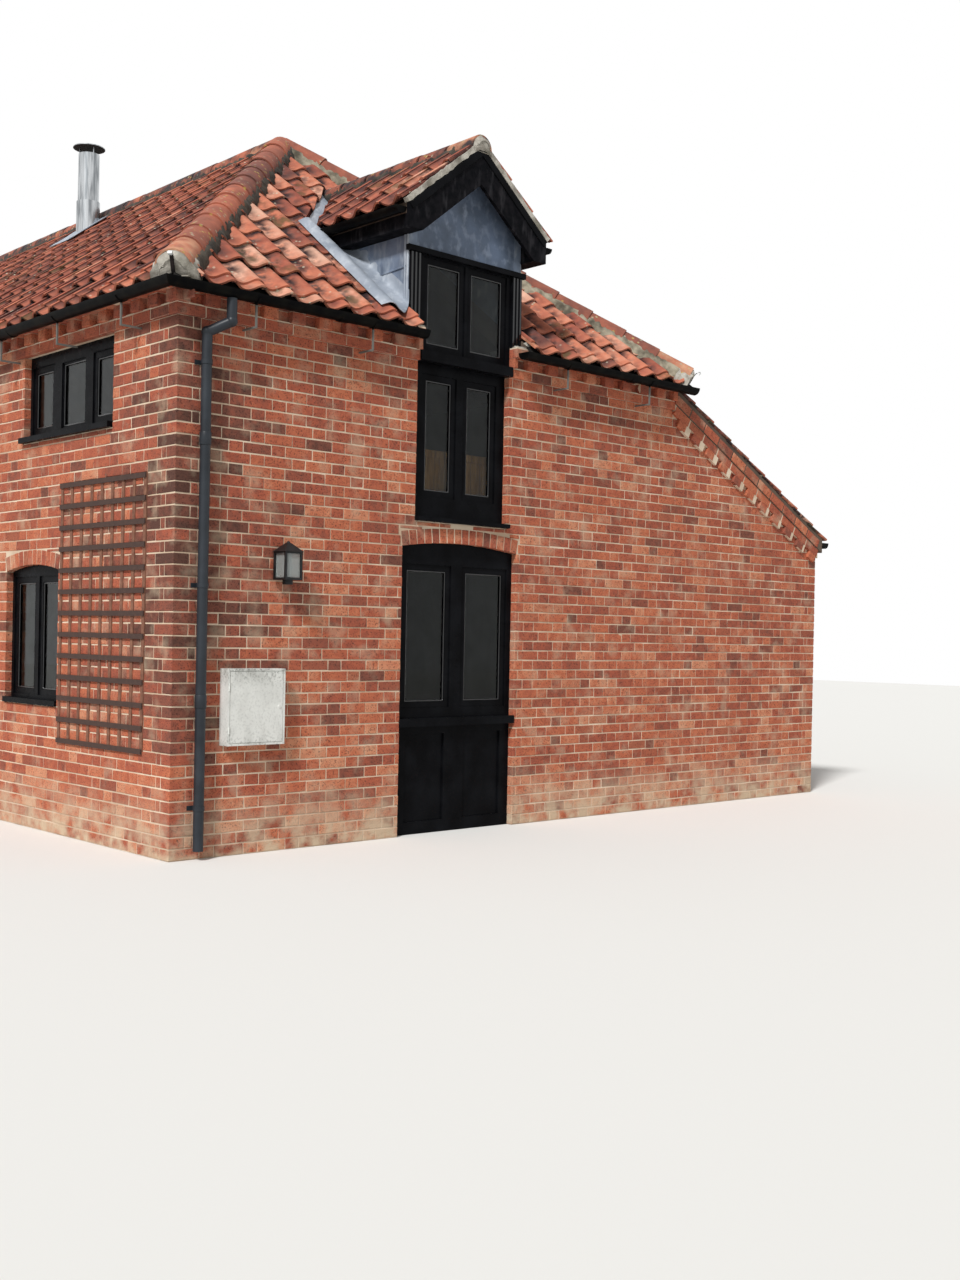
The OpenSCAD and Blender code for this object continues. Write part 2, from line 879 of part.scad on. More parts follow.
module lean_side_wall() {
    color(brick_red) difference() {
        translate([0, front_y + wall_t, 0]) upright(0, lean_l - 2 * wall_t) polygon([
            [lean_x - wall_t, 0],
            [lean_x - wall_t, lean_under(lean_x - wall_t)],
            [lean_x, lean_under(lean_x)],
            [lean_x, 0],
        ]);
        translate([lean_x, front_y + lean_window, 0]) rotate([0, 0, 90])
            upright(-1, wall_t + 2) arch_cut(arched_w, arched_z, arched_spring, arch_rise, ring_t);
    }
}

module lean_roof() {
    end = lean_x + lean_eaves_out;
    color(tile_red) translate([0, front_y - verge_out, 0]) upright(0, lean_l + 2 * verge_out)
        polygon([
            [half_w, lean_under(half_w)],
            [half_w, lean_z(half_w)],
            [end, lean_z(end)],
            [end, lean_under(end)],
        ]);
}

// Section of a half-round gutter, centred on its rim
module gutter_section(r, t) {
    difference() {
        circle(r, $fn = 48);
        circle(r - t, $fn = 48);
        translate([-r - 1, 0]) square([2 * r + 2, r + 1]);
    }
}

// Rise-and-fall bracket: a spike in the wall, a rod and the cradle under the gutter
module bracket() {
    seat = joint_gap;
    band = 5;
    translate([-spike_t / 2, gutter_d - spike_t / 2, spike_z])
        cube([spike_t, -gutter_d + spike_t / 2, spike_t]);
    translate([-spike_t / 2, gutter_d - spike_t / 2, spike_z])
        cube([spike_t, spike_t, rim_z - gutter_r - seat - band / 2 - spike_z]);
    run(-spike_t, spike_t) translate([gutter_d, rim_z]) difference() {
        circle(gutter_r + seat + band, $fn = 48);
        circle(gutter_r + seat, $fn = 48);
        translate([-gutter_w, -gutter_r / 2]) square([2 * gutter_w, gutter_w]);
    }
}

// A half disc that closes a gutter's end
module stop_end(r) {
    intersection() {
        circle(r, $fn = 48);
        translate([-r, -r]) square([2 * r, r]);
    }
}

// A gutter along one side. An end that isn't given meets its neighbour in a mitre,
// and a given one is square and closed.
module eaves_gutter(side, from, to) {
    h = side_half(side);
    reach = -gutter_d + gutter_r;
    left = is_undef(from) ? [-h - reach + joint_gap, joint_gap - h] : [from, from];
    right = is_undef(to) ? [h + reach - joint_gap, h - joint_gap] : [to, to];
    on_side(side) {
        intersection() {
            run(left[0], right[0]) translate([gutter_d, rim_z]) gutter_section(gutter_r, gutter_wall);
            linear_extrude(big) polygon([
                [left[0], -reach],
                [right[0], -reach],
                [right[1], 0],
                [left[1], 0],
            ]);
        }
        if (!is_undef(from)) run(from, from + gutter_wall) translate([gutter_d, rim_z]) stop_end(gutter_r);
        if (!is_undef(to)) run(to - gutter_wall, to) translate([gutter_d, rim_z]) stop_end(gutter_r);
    }
}

// The small gutters on the dormer's soffits, running back to the main slope
module dormer_gutters() {
    difference() {
        for (s = [-1, 1])
            translate([s * (barge_half + dormer_gutter_r), front_y - barge_out + barge_t,
                    dormer_top(barge_half) - lip_gap]) {
                upright(0, half_w) gutter_section(dormer_gutter_r, gutter_wall);
                upright(0, gutter_wall) stop_end(dormer_gutter_r);
            }
        under_front_plane();
    }
}

module lean_gutter() {
    end = lean_x + lean_eaves_out;
    len = lean_l + 2 * verge_out;
    translate([end + gutter_r, front_y - verge_out, lean_z(end) - lip_gap]) {
        upright(0, len) gutter_section(gutter_r, gutter_wall);
        for (y = [0, len - gutter_wall]) upright(y, gutter_wall) stop_end(gutter_r);
    }
}

// Brackets along one side, between two places on it
module bracket_row(side, from, to) {
    count = max(1, round((to - from) / bracket_step));
    on_side(side) for (i = [0 : count - 1])
        translate([from + (i + 0.5) * (to - from) / count, 0, 0]) bracket();
}

module gutters() {
    color(black_paint) {
        eaves_gutter("front", undef, left_gutter_end);
        eaves_gutter("front", right_gutter_start, half_w + gutter_over);
        eaves_gutter("left", undef, undef);
        eaves_gutter("rear", undef, undef);
        eaves_gutter("right", lean_end + verge_out, undef);
        dormer_gutters();
        lean_gutter();
        bracket_row("front", -half_w, left_gutter_end);
        bracket_row("front", right_gutter_start, half_w);
        bracket_row("left", -half_l, half_l);
        bracket_row("rear", -half_w, half_w);
        bracket_row("right", lean_end + verge_out, half_l);
    }
}

// A round rod from p to q
module rod(p, q, r) {
    v = q - p;
    translate(p) rotate([0, acos(v[2] / norm(v)), atan2(v[1], v[0])])
        cylinder(r = r, h = norm(v), $fn = 32);
}

module downpipe() {
    x = -half_w + pipe_in;
    r = pipe_d / 2;
    y = -(pipe_gap + r);
    outlet = [x + pipe_shift, gutter_d, rim_z - gutter_r - joint_gap];
    elbow = [x + pipe_shift, gutter_d, rim_z - gutter_r - 147];
    knee = [x, y, wall_top - 98];
    color("#34373b") on_side("front") {
        rod([x, y, pipe_foot], knee, r);
        translate(knee) sphere(r + 4, $fn = 32);
        rod(knee, elbow, r);
        translate(elbow) sphere(r + 4, $fn = 32);
        rod(elbow, outlet, r);
        for (i = [0 : 2]) translate([x, 0, clip_low + i * clip_step]) {
            translate([0, y, 0]) cylinder(r = r + 4, h = 30, $fn = 32);
            translate([-r - 22, -6, 0]) cube([2 * r + 44, 6, 30]);
            translate([-12, y, 0]) cube([24, -y, 30]);
        }
    }
}

module flue() {
    x = -flue_off;
    foot = roof_z(half_w - flue_off);
    color("#c9cdd0") difference() {
        translate([x, flue_back, 0]) {
            translate([0, 0, foot - flue_d])
                cylinder(d = flue_d, h = flue_h + flue_d - cap_gap - 40, $fn = 48);
            translate([0, 0, foot - flue_d]) cylinder(d = flue_d + 24, h = flue_d + collar_h, $fn = 48);
            for (a = [30 : 120 : 270]) rotate([0, 0, a])
                translate([flue_d / 2 - 12, 0, foot + flue_h - cap_gap - 50])
                    cylinder(r = 6, h = cap_gap + 20, $fn = 16);
            translate([0, 0, foot + flue_h - 40])
                cylinder(r = flue_d / 2 + cap_out, h = 8, $fn = 48);
            translate([0, 0, foot + flue_h - 33])
                cylinder(r1 = flue_d / 2 + cap_out, r2 = 20, h = 33, $fn = 48);
        }
        on_side("left") under_roof("left");
        on_side("right") under_roof("right");
    }
}

module meter_box() {
    color("#d9d8d0") on_side("front") translate([-half_w + meter_in, -meter_d, meter_z])
        difference() {
            cube([meter_w, meter_d, meter_h]);
            upright(-1, 1 + meter_groove) difference() {
                translate([meter_lip, meter_lip])
                    square([meter_w - 2 * meter_lip, meter_h - 2 * meter_lip]);
                translate([meter_lip + meter_groove, meter_lip + meter_groove])
                    square([meter_w - 2 * (meter_lip + meter_groove),
                            meter_h - 2 * (meter_lip + meter_groove)]);
            }
        }
}

// A glazed cage with its candle tube, on an arm from a wall plate
module lantern() {
    foot = 30;
    plate_t = 12;
    axis_y = -(plate_t + 8 + lantern_w / 2);
    top = foot + lantern_h;
    gap = lantern_w - 2 * lantern_post;
    color(black_paint) on_side("front") translate([-half_w + lantern_in, 0, lantern_z]) {
        translate([-40, -plate_t, foot + 30]) cube([80, plate_t, lantern_h - 30]);
        translate([-10, axis_y, top - 5]) cube([20, -axis_y, plate_t]);
        difference() {
            translate([-lantern_w / 2, axis_y - lantern_w / 2, foot])
                cube([lantern_w, lantern_w, lantern_h]);
            translate([-gap / 2, axis_y - lantern_w, foot + lantern_post])
                cube([gap, 2 * lantern_w, lantern_h - 2 * lantern_post]);
            translate([-lantern_w, axis_y - gap / 2, foot + lantern_post])
                cube([2 * lantern_w, gap, lantern_h - 2 * lantern_post]);
        }
        translate([0, axis_y, 0]) {
            cylinder(r = lantern_w / 4, h = foot + 2, $fn = 24);
            translate([0, 0, foot + 1]) cylinder(r = lantern_w / 6, h = lantern_h - 2, $fn = 24);
            translate([0, 0, top - 1]) rotate([0, 0, 45])
                cylinder(r1 = 0.78 * lantern_w, r2 = 20, h = 60, $fn = 4);
            translate([0, 0, top + 58]) sphere(14, $fn = 24);
        }
    }
}

module trellis() {
    color("#6e5240") on_side("left") translate([half_l - trellis_in - trellis_w, 0, trellis_z]) {
        for (i = [0 : round(trellis_w / trellis_step)])
            translate([i * (trellis_w - lath_w) / round(trellis_w / trellis_step), -10, 0])
                cube([lath_w, 10, trellis_h]);
        for (i = [0 : round(trellis_h / trellis_mesh)])
            translate([0, -20, i * (trellis_h - lath_w) / round(trellis_h / trellis_mesh)])
                cube([trellis_w, 11, lath_w]);
    }
}

ground_slab();
first_floor();
front_wall_left();
front_wall_right();
front_arch();
left_wall();
right_wall();
rear_wall();
window_arches();
front_eaves();
left_eaves();
right_eaves();
rear_eaves();
roof_front();
roof_left();
roof_right();
roof_rear();
ridge_tiles();
front_hip_tiles();
rear_hip_tiles();
dormer_cheeks();
dormer_gable();
dormer_roof();
dormer_ridge();
barge_boards();
dormer_soffits();
dormer_window();
loft_window();
ground_window();
casements();
arched_windows();
ground_glass();
upper_glass();
guard_panel();
lead_flashings();
lean_front_wall();
lean_side_wall();
lean_rear_wall();
lean_roof();
gutters();
downpipe();
flue();
meter_box();
lantern();
trellis();
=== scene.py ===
"""Looks of a converted hayloft barn: brickwork, pantiles, leadwork, joinery and fittings.

Everything is in metres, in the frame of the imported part. The hipped front with the dormer
faces -Y, the lean-to stands on the +X side, and Z is up.
"""

import logging
import math
from collections.abc import Callable, Iterator
from contextlib import contextmanager
from dataclasses import dataclass, field, replace
from enum import Enum

import bmesh
import bpy
import numpy as np
from mathutils import Matrix, Vector


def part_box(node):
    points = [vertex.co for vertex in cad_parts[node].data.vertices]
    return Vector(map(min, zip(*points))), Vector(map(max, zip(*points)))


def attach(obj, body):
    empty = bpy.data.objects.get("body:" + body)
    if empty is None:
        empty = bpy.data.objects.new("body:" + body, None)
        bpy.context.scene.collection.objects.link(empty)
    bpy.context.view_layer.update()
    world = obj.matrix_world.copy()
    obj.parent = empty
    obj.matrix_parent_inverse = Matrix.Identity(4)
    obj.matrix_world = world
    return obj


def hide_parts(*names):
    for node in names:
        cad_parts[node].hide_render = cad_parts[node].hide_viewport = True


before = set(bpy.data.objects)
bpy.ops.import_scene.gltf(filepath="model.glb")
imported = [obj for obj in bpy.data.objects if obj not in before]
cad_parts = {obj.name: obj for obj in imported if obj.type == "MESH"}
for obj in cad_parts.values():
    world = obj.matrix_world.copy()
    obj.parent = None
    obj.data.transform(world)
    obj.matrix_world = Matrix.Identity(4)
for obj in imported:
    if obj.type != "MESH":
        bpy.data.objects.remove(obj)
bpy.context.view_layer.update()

log = logging.getLogger("hayloft")

Piece = bpy.types.Object
Spots = list[tuple[Matrix, tuple]]

MM = 0.001
ROOT = "root"
MIRROR = Matrix.Scale(-1, 4, (1, 0, 0))


# Modelling moves

def only(piece: Piece | None) -> None:
    """Deselect everything, then select one piece and make it active, or leave none selected."""
    for other in bpy.context.selected_objects:
        other.select_set(False)
    if piece is not None:
        piece.select_set(True)
        bpy.context.view_layer.objects.active = piece


@contextmanager
def editing(piece: Piece, select: str = "DESELECT") -> Iterator[None]:
    """Open a piece in edit mode with all of it selected or nothing, and close it again."""
    only(piece)
    bpy.ops.object.mode_set(mode="EDIT")
    bpy.ops.mesh.select_all(action=select)
    try:
        yield
    finally:
        bpy.ops.object.mode_set(mode="OBJECT")


def pick(piece: Piece, part: str, wanted: Callable[[Vector, Vector], bool]) -> None:
    """Select faces, edges or vertices in edit mode, by their place and direction.

    Args:
        piece: The mesh object in edit mode.
        part: "FACE", "EDGE" or "VERT".
        wanted: Says from an element's middle and its normal, or an edge's way, if it is taken.
    """
    bpy.ops.mesh.select_mode(type=part)
    bpy.ops.mesh.select_all(action="DESELECT")
    shape = bmesh.from_edit_mesh(piece.data)
    for face in shape.faces if part == "FACE" else ():
        face.select_set(wanted(face.calc_center_median(), face.normal))
    for edge in shape.edges if part == "EDGE" else ():
        start, end = (vert.co for vert in edge.verts)
        edge.select_set(wanted((start + end) / 2, (end - start).normalized()))
    for vert in shape.verts if part == "VERT" else ():
        vert.select_set(wanted(vert.co, vert.normal))
    shape.select_flush_mode()
    bmesh.update_edit_mesh(piece.data)


def added(name: str) -> Piece:
    """Name the primitive that was just added, and put its place into its mesh."""
    piece = bpy.context.object
    piece.name = name
    bpy.ops.object.transform_apply(location=True, rotation=True, scale=True)
    return piece


def block(name: str, low: tuple, high: tuple, bevel: float = 0.0) -> Piece:
    """Add a box between its lowest and its highest corner, with its edges eased if asked."""
    only(None)
    size = [b - a for a, b in zip(low, high)]
    bpy.ops.mesh.primitive_cube_add(size=1, location=[(a + b) / 2 for a, b in zip(low, high)], scale=size)
    piece = added(name)
    if bevel:
        ease(piece, bevel)
    return piece


def cylinder(name: str, radius: float, depth: float, middle: tuple, turn: tuple, sides: int = 28,
             ends: str = "NGON") -> Piece:
    """Add a cylinder by its length, middle and turn from upright, open where its ends are "NOTHING"."""
    only(None)
    bpy.ops.mesh.primitive_cylinder_add(vertices=sides, radius=radius, depth=depth, end_fill_type=ends,
                                        location=middle, rotation=turn)
    return added(name)


def round_bar(name: str, start: tuple, end: tuple, radius: float, sides: int) -> Piece:
    """Add a round bar from the centre of one end to the centre of the other."""
    run = Vector(end) - Vector(start)
    turn = run.to_track_quat("Z", "Y").to_euler()
    return cylinder(name, radius, run.length, (Vector(start) + Vector(end)) / 2, turn, sides)


def modify(piece: Piece, kind: str, **settings: object) -> None:
    """Apply a modifier of a kind, with its settings, to a piece."""
    only(piece)
    modifier = piece.modifiers.new(kind.lower(), kind)
    for name, value in settings.items():
        setattr(modifier, name, value)
    bpy.ops.object.modifier_apply(modifier=modifier.name)


def ease(piece: Piece, width: float, segments: int = 1, angle: float = 40.0) -> None:
    """Bevel the edges of a piece that are sharper than an angle in degrees."""
    modify(piece, "BEVEL", width=width, segments=segments, limit_method="ANGLE",
           angle_limit=math.radians(angle))


def thicken(piece: Piece, thickness: float) -> None:
    """Give a sheet its thickness behind its faces."""
    modify(piece, "SOLIDIFY", thickness=thickness, offset=-1.0)


def roughen(piece: Piece, height: float, grain: float) -> None:
    """Push a piece's surface in and out by clouds of a height and a grain, as in trowelled mortar."""
    clouds = bpy.data.textures.new(piece.name + "_lumps", "CLOUDS")
    clouds.noise_scale, clouds.noise_depth = grain, 2
    modify(piece, "DISPLACE", texture=clouds, strength=height, mid_level=0.5, texture_coords="GLOBAL")


def smooth(piece: Piece, angle: float) -> None:
    """Shade a piece smooth, apart from edges sharper than an angle in degrees."""
    only(piece)
    bpy.ops.object.shade_smooth_by_angle(angle=math.radians(angle))


def halve(piece: Piece, point: tuple, keep: tuple, fill: bool = True) -> None:
    """Cut a piece by a plane, keep the side that its normal points to, and close the cut if asked."""
    with editing(piece, "SELECT"):
        bpy.ops.mesh.bisect(plane_co=point, plane_no=keep, use_fill=fill, clear_inner=True)


def divide(piece: Piece, cuts: int) -> None:
    """Divide every edge of a piece, so that it can be roughened."""
    with editing(piece, "SELECT"):
        bpy.ops.mesh.subdivide(number_cuts=cuts)


def move_mesh(piece: Piece, matrix: Matrix) -> Piece:
    """Move a piece's mesh by a matrix, and leave its object at the origin."""
    piece.data.transform(matrix)
    if matrix.determinant() < 0:
        piece.data.flip_normals()
    piece.data.update()
    return piece


def twin(piece: Piece, name: str, matrix: Matrix) -> Piece:
    """Copy a piece with a mesh of its own, moved by a matrix."""
    other = piece.copy()
    other.data = piece.data.copy()
    other.name = name
    bpy.context.scene.collection.objects.link(other)
    return move_mesh(other, matrix)


def joined(name: str, pieces: list[Piece]) -> Piece:
    """Join pieces into one and name it."""
    only(pieces[0])
    for piece in pieces[1:]:
        piece.select_set(True)
    if len(pieces) > 1:
        bpy.ops.object.join()
    pieces[0].name = name
    return pieces[0]


def both(name: str, left: Piece) -> Piece:
    """Join a piece with its mirror image on the other side of the dormer."""
    return joined(name, [left, twin(left, name + "_right", MIRROR)])


def rim(name: str, low: tuple, high: tuple, width: float) -> Piece:
    """Make a rectangular frame that stands in an X-Z plane, open along Y, with four sides of a width."""
    piece = block(name, low, high)
    with editing(piece):
        pick(piece, "FACE", lambda middle, normal: abs(normal.y) > 0.9)
        bpy.ops.mesh.inset(thickness=width, use_individual=True)
        bpy.ops.mesh.bridge_edge_loops()
    return piece


def trace(name: str, points: list[tuple], run: tuple, steps: int = 1) -> Piece:
    """Draw a section point by point and pull it along a run into a sheet, in a number of strips."""
    only(None)
    bpy.ops.mesh.primitive_plane_add(size=0.01, location=points[0])
    piece = added(name)
    with editing(piece):
        bpy.ops.mesh.select_mode(type="VERT")
        bpy.ops.mesh.select_all(action="SELECT")
        bpy.ops.mesh.merge(type="CENTER")
        for here, there in zip(points, points[1:]):
            way = [b - a for a, b in zip(here, there)]
            bpy.ops.mesh.extrude_vertices_move(TRANSFORM_OT_translate={"value": way})
        bpy.ops.mesh.select_all(action="SELECT")
        for _ in range(steps):
            bpy.ops.mesh.extrude_region_move(TRANSFORM_OT_translate={"value": [r / steps for r in run]})
        bpy.ops.mesh.select_all(action="SELECT")
        bpy.ops.mesh.normals_make_consistent(inside=False)
    return piece


def bar(name: str, section: list[tuple], run: tuple, steps: int = 1) -> Piece:
    """Pull a closed section along a run into a bar with closed ends, as `trace` does with a sheet."""
    piece = trace(name, section + section[:1], run, steps)
    with editing(piece, "SELECT"):
        bpy.ops.mesh.remove_doubles(threshold=1e-5)
        bpy.ops.mesh.select_all(action="SELECT")
        bpy.ops.mesh.fill_holes(sides=0)
        bpy.ops.mesh.select_all(action="SELECT")
        bpy.ops.mesh.normals_make_consistent(inside=False)
    return piece


def solids_of(node: str) -> list[tuple[Vector, Vector]]:
    """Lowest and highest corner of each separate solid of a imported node."""
    shape = bmesh.new()
    shape.from_mesh(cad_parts[node].data)
    bmesh.ops.remove_doubles(shape, verts=shape.verts, dist=1e-5)
    waiting, boxes = set(shape.verts), []
    while waiting:
        group = [waiting.pop()]
        for vert in group:
            near = {edge.other_vert(vert) for edge in vert.link_edges} & waiting
            waiting -= near
            group += near
        corners = [[pick_of(vert.co[i] for vert in group) for i in range(3)] for pick_of in (min, max)]
        boxes.append(tuple(Vector(corner) for corner in corners))
    shape.free()
    return sorted(boxes, key=lambda box: tuple(round(v, 4) for v in box[0]))


class Stamp:
    """A small shape that is modelled once and repeated many times in one mesh."""

    def __init__(self, model: Piece) -> None:
        """Read the shape, modelled at the origin, and remove its object."""
        self.points = np.array([v.co[:] for v in model.data.vertices])
        self.faces = [tuple(p.vertices) for p in model.data.polygons]
        self.lie = np.zeros((len(self.points), 3))
        bpy.data.objects.remove(model)

    def press(self, name: str, places: np.ndarray, tones: np.ndarray, matrix: Matrix | None = None) -> Piece:
        """Make one mesh of all the copies.

        Args:
            name: Name of the new piece.
            places: The copies' points, one block of points for each copy.
            tones: Three random numbers for each copy, kept as the attribute "fired". Where
                each point lies on the shape is kept as "lie".
            matrix: Moves the finished mesh to its place.

        Returns:
            The new piece.
        """
        count, size = len(places), len(self.points)
        mesh = bpy.data.meshes.new(name)
        mesh.from_pydata(places.reshape(-1, 3), [],
                         [tuple(v + i * size for v in face) for i in range(count) for face in self.faces])
        for key, rows in (("fired", np.repeat(tones, size, axis=0)), ("lie", np.tile(self.lie, (count, 1)))):
            layer = mesh.attributes.new(key, "FLOAT_VECTOR", "POINT")
            layer.data.foreach_set("vector", rows.astype(np.float32).ravel())
        piece = bpy.data.objects.new(name, mesh)
        bpy.context.scene.collection.objects.link(piece)
        return move_mesh(piece, matrix or Matrix.Identity(4))


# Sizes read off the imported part

class Side(Enum):
    """The four sides of the main range, with the turn of each side's own frame in degrees."""

    FRONT = 0
    RIGHT = 90
    REAR = 180
    LEFT = 270

    def frame(self, out: float, z: float = 0.0, pitch: float = 0.0) -> Matrix:
        """Matrix of a frame at a distance from the range's middle: X along the side, Y in and tilted up."""
        return (Matrix.Rotation(math.radians(self.value), 4, "Z") @ Matrix.Translation((0, -out, z))
                @ Matrix.Rotation(pitch, 4, "X"))


@dataclass(frozen=True)
class Survey:
    """Main sizes of the barn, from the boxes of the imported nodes."""

    half_w: float
    half_l: float
    wall_top: float
    eaves_top: float
    roof_edge: float
    apex: float
    lean_x: float
    lean_end: float
    lean_top: float
    lean_eaves: float
    dormer_half: float
    loft_half: float
    head_z: float
    barge_half: float
    dormer_apex: float

    course = 0.076
    top_out = 0.085
    roof_lip = 0.017
    lean_roof_t = 0.120
    lean_slope = math.tan(math.radians(27))
    dormer_slope = math.tan(math.radians(39))
    valley_back = 1.712
    valley_run = 1.0357

    @classmethod
    def read(cls) -> "Survey":
        """Measure the nodes that the other sizes follow from."""
        wall, eaves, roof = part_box("left_wall"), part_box("left_eaves"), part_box("roof_left")
        lean_roof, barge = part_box("lean_roof"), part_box("barge_boards")
        half_w = -wall[0].x
        slope = (roof[1].z - eaves[1].z - cls.roof_lip) / (half_w + cls.top_out)
        return cls(
            half_w=half_w, half_l=wall[1].y, wall_top=wall[1].z, eaves_top=eaves[1].z,
            roof_edge=roof[1].z - half_w * slope, apex=roof[1].z,
            lean_x=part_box("lean_side_wall")[1].x, lean_end=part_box("lean_rear_wall")[1].y,
            lean_top=lean_roof[1].z, lean_eaves=lean_roof[1].x,
            dormer_half=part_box("dormer_cheeks")[1].x, loft_half=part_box("loft_window")[1].x,
            head_z=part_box("dormer_window")[1].z, barge_half=barge[1].x, dormer_apex=barge[1].z,
        )

    @property
    def slope(self) -> float:
        """Rise of the main roof for each metre inwards."""
        return (self.apex - self.roof_edge) / self.half_w

    @property
    def dormer_edge(self) -> float:
        """Height of the dormer roof's top face at its eaves."""
        return self.dormer_apex - self.barge_half * self.dormer_slope

    def roof_z(self, inward: float) -> float:
        """Height of the main roof's boards at a distance inside the wall's face."""
        return self.roof_edge + inward * self.slope

    def lean_under(self, x: float) -> float:
        """Height of the underside of the lean-to's roof."""
        thick = self.lean_roof_t * math.hypot(1, self.lean_slope)
        return self.lean_top - (x - self.half_w) * self.lean_slope - thick

    def out(self, side: Side) -> float:
        """Distance from the middle of the range to a side's face."""
        return self.half_l if side in (Side.FRONT, Side.REAR) else self.half_w

    def half(self, side: Side) -> float:
        """Half of a side's length."""
        return self.half_w if side in (Side.FRONT, Side.REAR) else self.half_l

    def side(self, side: Side) -> Matrix:
        """Matrix of a side's frame: X along the wall, Y into the building from its face."""
        return side.frame(self.out(side))

    def roof(self, side: Side) -> Matrix:
        """Matrix of a main slope's frame: X along, Y up the slope, Z off it."""
        return side.frame(self.out(side), self.roof_edge, math.atan(self.slope))


# Materials

def linear(code: str) -> tuple[float, float, float, float]:
    """Turn an sRGB hex colour into the linear values that a shader takes."""
    parts = [int(code[i:i + 2], 16) / 255 for i in (1, 3, 5)]
    return (*[p / 12.92 if p <= 0.04045 else ((p + 0.055) / 1.055) ** 2.4 for p in parts], 1.0)


class Wire:
    """One output in a node tree, on which further nodes are hung."""

    def __init__(self, graph: "Graph", socket: bpy.types.NodeSocket) -> None:
        """Hold the output and the graph that it belongs to."""
        self.graph, self.socket = graph, socket

    def math(self, kind: str, other: "Wire | float" = 0.0) -> "Wire":
        """This value and another in a math node of that kind."""
        return self.graph.add("ShaderNodeMath", {"operation": kind, 0: self, 1: other})

    def __add__(self, other: "Wire | float") -> "Wire":
        """The sum of two values."""
        return self.math("ADD", other)

    def __mul__(self, other: "Wire | float") -> "Wire":
        """The product of two values."""
        return self.math("MULTIPLY", other)

    def __lt__(self, other: "Wire | float") -> "Wire":
        """1 where this value is the smaller one, and 0 elsewhere."""
        return self.math("LESS_THAN", other)

    def __abs__(self) -> "Wire":
        """The value without its sign."""
        return self.math("ABSOLUTE")

    def ramp(self, *stops: tuple) -> "Wire":
        """Colours or numbers along this value, from pairs of a place and a colour or number."""
        return self.graph.add("ShaderNodeValToRGB", {"stops": stops, 0: self})

    def level(self, low: float, high: float, first: float = 0.0, last: float = 1.0) -> "Wire":
        """This value's place between two limits, as a number from first to last."""
        return self.graph.add("ShaderNodeMapRange", {0: self, 1: low, 2: high, 3: first, 4: last})

    def under(self, colour: "Wire | str", amount: "Wire | float") -> "Wire":
        """This colour with an amount of another over it."""
        return self.graph.add("ShaderNodeMix", {"data_type": "RGBA", 0: amount, 6: self, 7: colour}, 2)

    def parts(self) -> tuple["Wire", "Wire", "Wire"]:
        """The three numbers of this vector."""
        node = self.graph.node("ShaderNodeSeparateXYZ", {0: self})
        return tuple(Wire(self.graph, socket) for socket in node.outputs)


class Graph:
    """The node tree of a material or a world, filled a node at a time."""

    def __init__(self, owner: bpy.types.Material | bpy.types.World) -> None:
        """Start with an empty tree."""
        owner.use_nodes = True
        self.tree = owner.node_tree
        self.tree.nodes.clear()

    def node(self, kind: str, settings: dict) -> bpy.types.Node:
        """Add a node and set it up.

        Args:
            kind: Blender's name of the node type.
            settings: Node properties by their lower-case names, a ramp's "stops" as pairs of
                place and hex colour or number, and inputs by their names or numbers. An
                input takes a wire, a hex colour or a constant.

        Returns:
            The new node.
        """
        node = self.tree.nodes.new(kind)
        for key, value in settings.items():
            if key == "stops":
                elements = node.color_ramp.elements
                while len(elements) < len(value):
                    elements.new(1.0)
                for element, (at, shade) in zip(elements, value):
                    element.position = at
                    element.color = linear(shade) if isinstance(shade, str) else (shade, shade, shade, 1)
            elif isinstance(key, str) and key[0].islower():
                setattr(node, key, value)
            elif isinstance(value, Wire):
                self.tree.links.new(value.socket, node.inputs[key])
            else:
                node.inputs[key].default_value = linear(value) if isinstance(value, str) else value
        return node

    def add(self, kind: str, settings: dict | None = None, out: int | str = 0) -> Wire:
        """Add a node as `node` does, and give the output of that name or number."""
        return Wire(self, self.node(kind, settings or {}).outputs[out])

    def place(self) -> Wire:
        """The piece's own coordinates."""
        return self.add("ShaderNodeTexCoord", out="Object")

    def noise(self, size_mm: float, detail: float = 4.0, stretch: tuple = (1, 1, 1)) -> Wire:
        """Noise with lumps of a real size, some finer layers, and a finer grain along an axis if asked."""
        spread = self.add("ShaderNodeMapping", {"Scale": stretch, "Vector": self.place()})
        scale = 1 / (size_mm * MM)
        return self.add("ShaderNodeTexNoise", {"Scale": scale, "Detail": detail, "Vector": spread})

    def spots(self, size_mm: float) -> Wire:
        """Distance from the middle of the nearest of many spots, a size apart."""
        scale = 1 / (size_mm * MM)
        return self.add("ShaderNodeTexVoronoi", {"Scale": scale, "Vector": self.place()}, "Distance")

    def carried(self, name: str) -> tuple[Wire, Wire, Wire]:
        """The three numbers that each brick or tile carries under a name."""
        return self.add("ShaderNodeAttribute", {"attribute_name": name}, "Vector").parts()

    def close(self, kind: str, surface: Wire) -> None:
        """End the tree with an output node of that kind."""
        self.node(kind, {"Surface": surface})

    def finish(self, colour: Wire | str, rough: Wire | float, *bumps: tuple[Wire, float],
               **settings: Wire | float) -> None:
        """Close a material's tree with its shader.

        Args:
            colour: Base colour.
            rough: Roughness.
            bumps: Heights with their depths in millimetres.
            settings: Other inputs by name, with underscores for spaces.
        """
        values = {"Base Color": colour, "Roughness": rough}
        values |= {key.replace("_", " "): value for key, value in settings.items()}
        for height, depth in bumps:
            below = {"Normal": values["Normal"]} if "Normal" in values else {}
            values["Normal"] = self.add("ShaderNodeBump", {"Distance": depth * MM, "Height": height, **below})
        self.close("ShaderNodeOutputMaterial", self.add("ShaderNodeBsdfPrincipled", values))


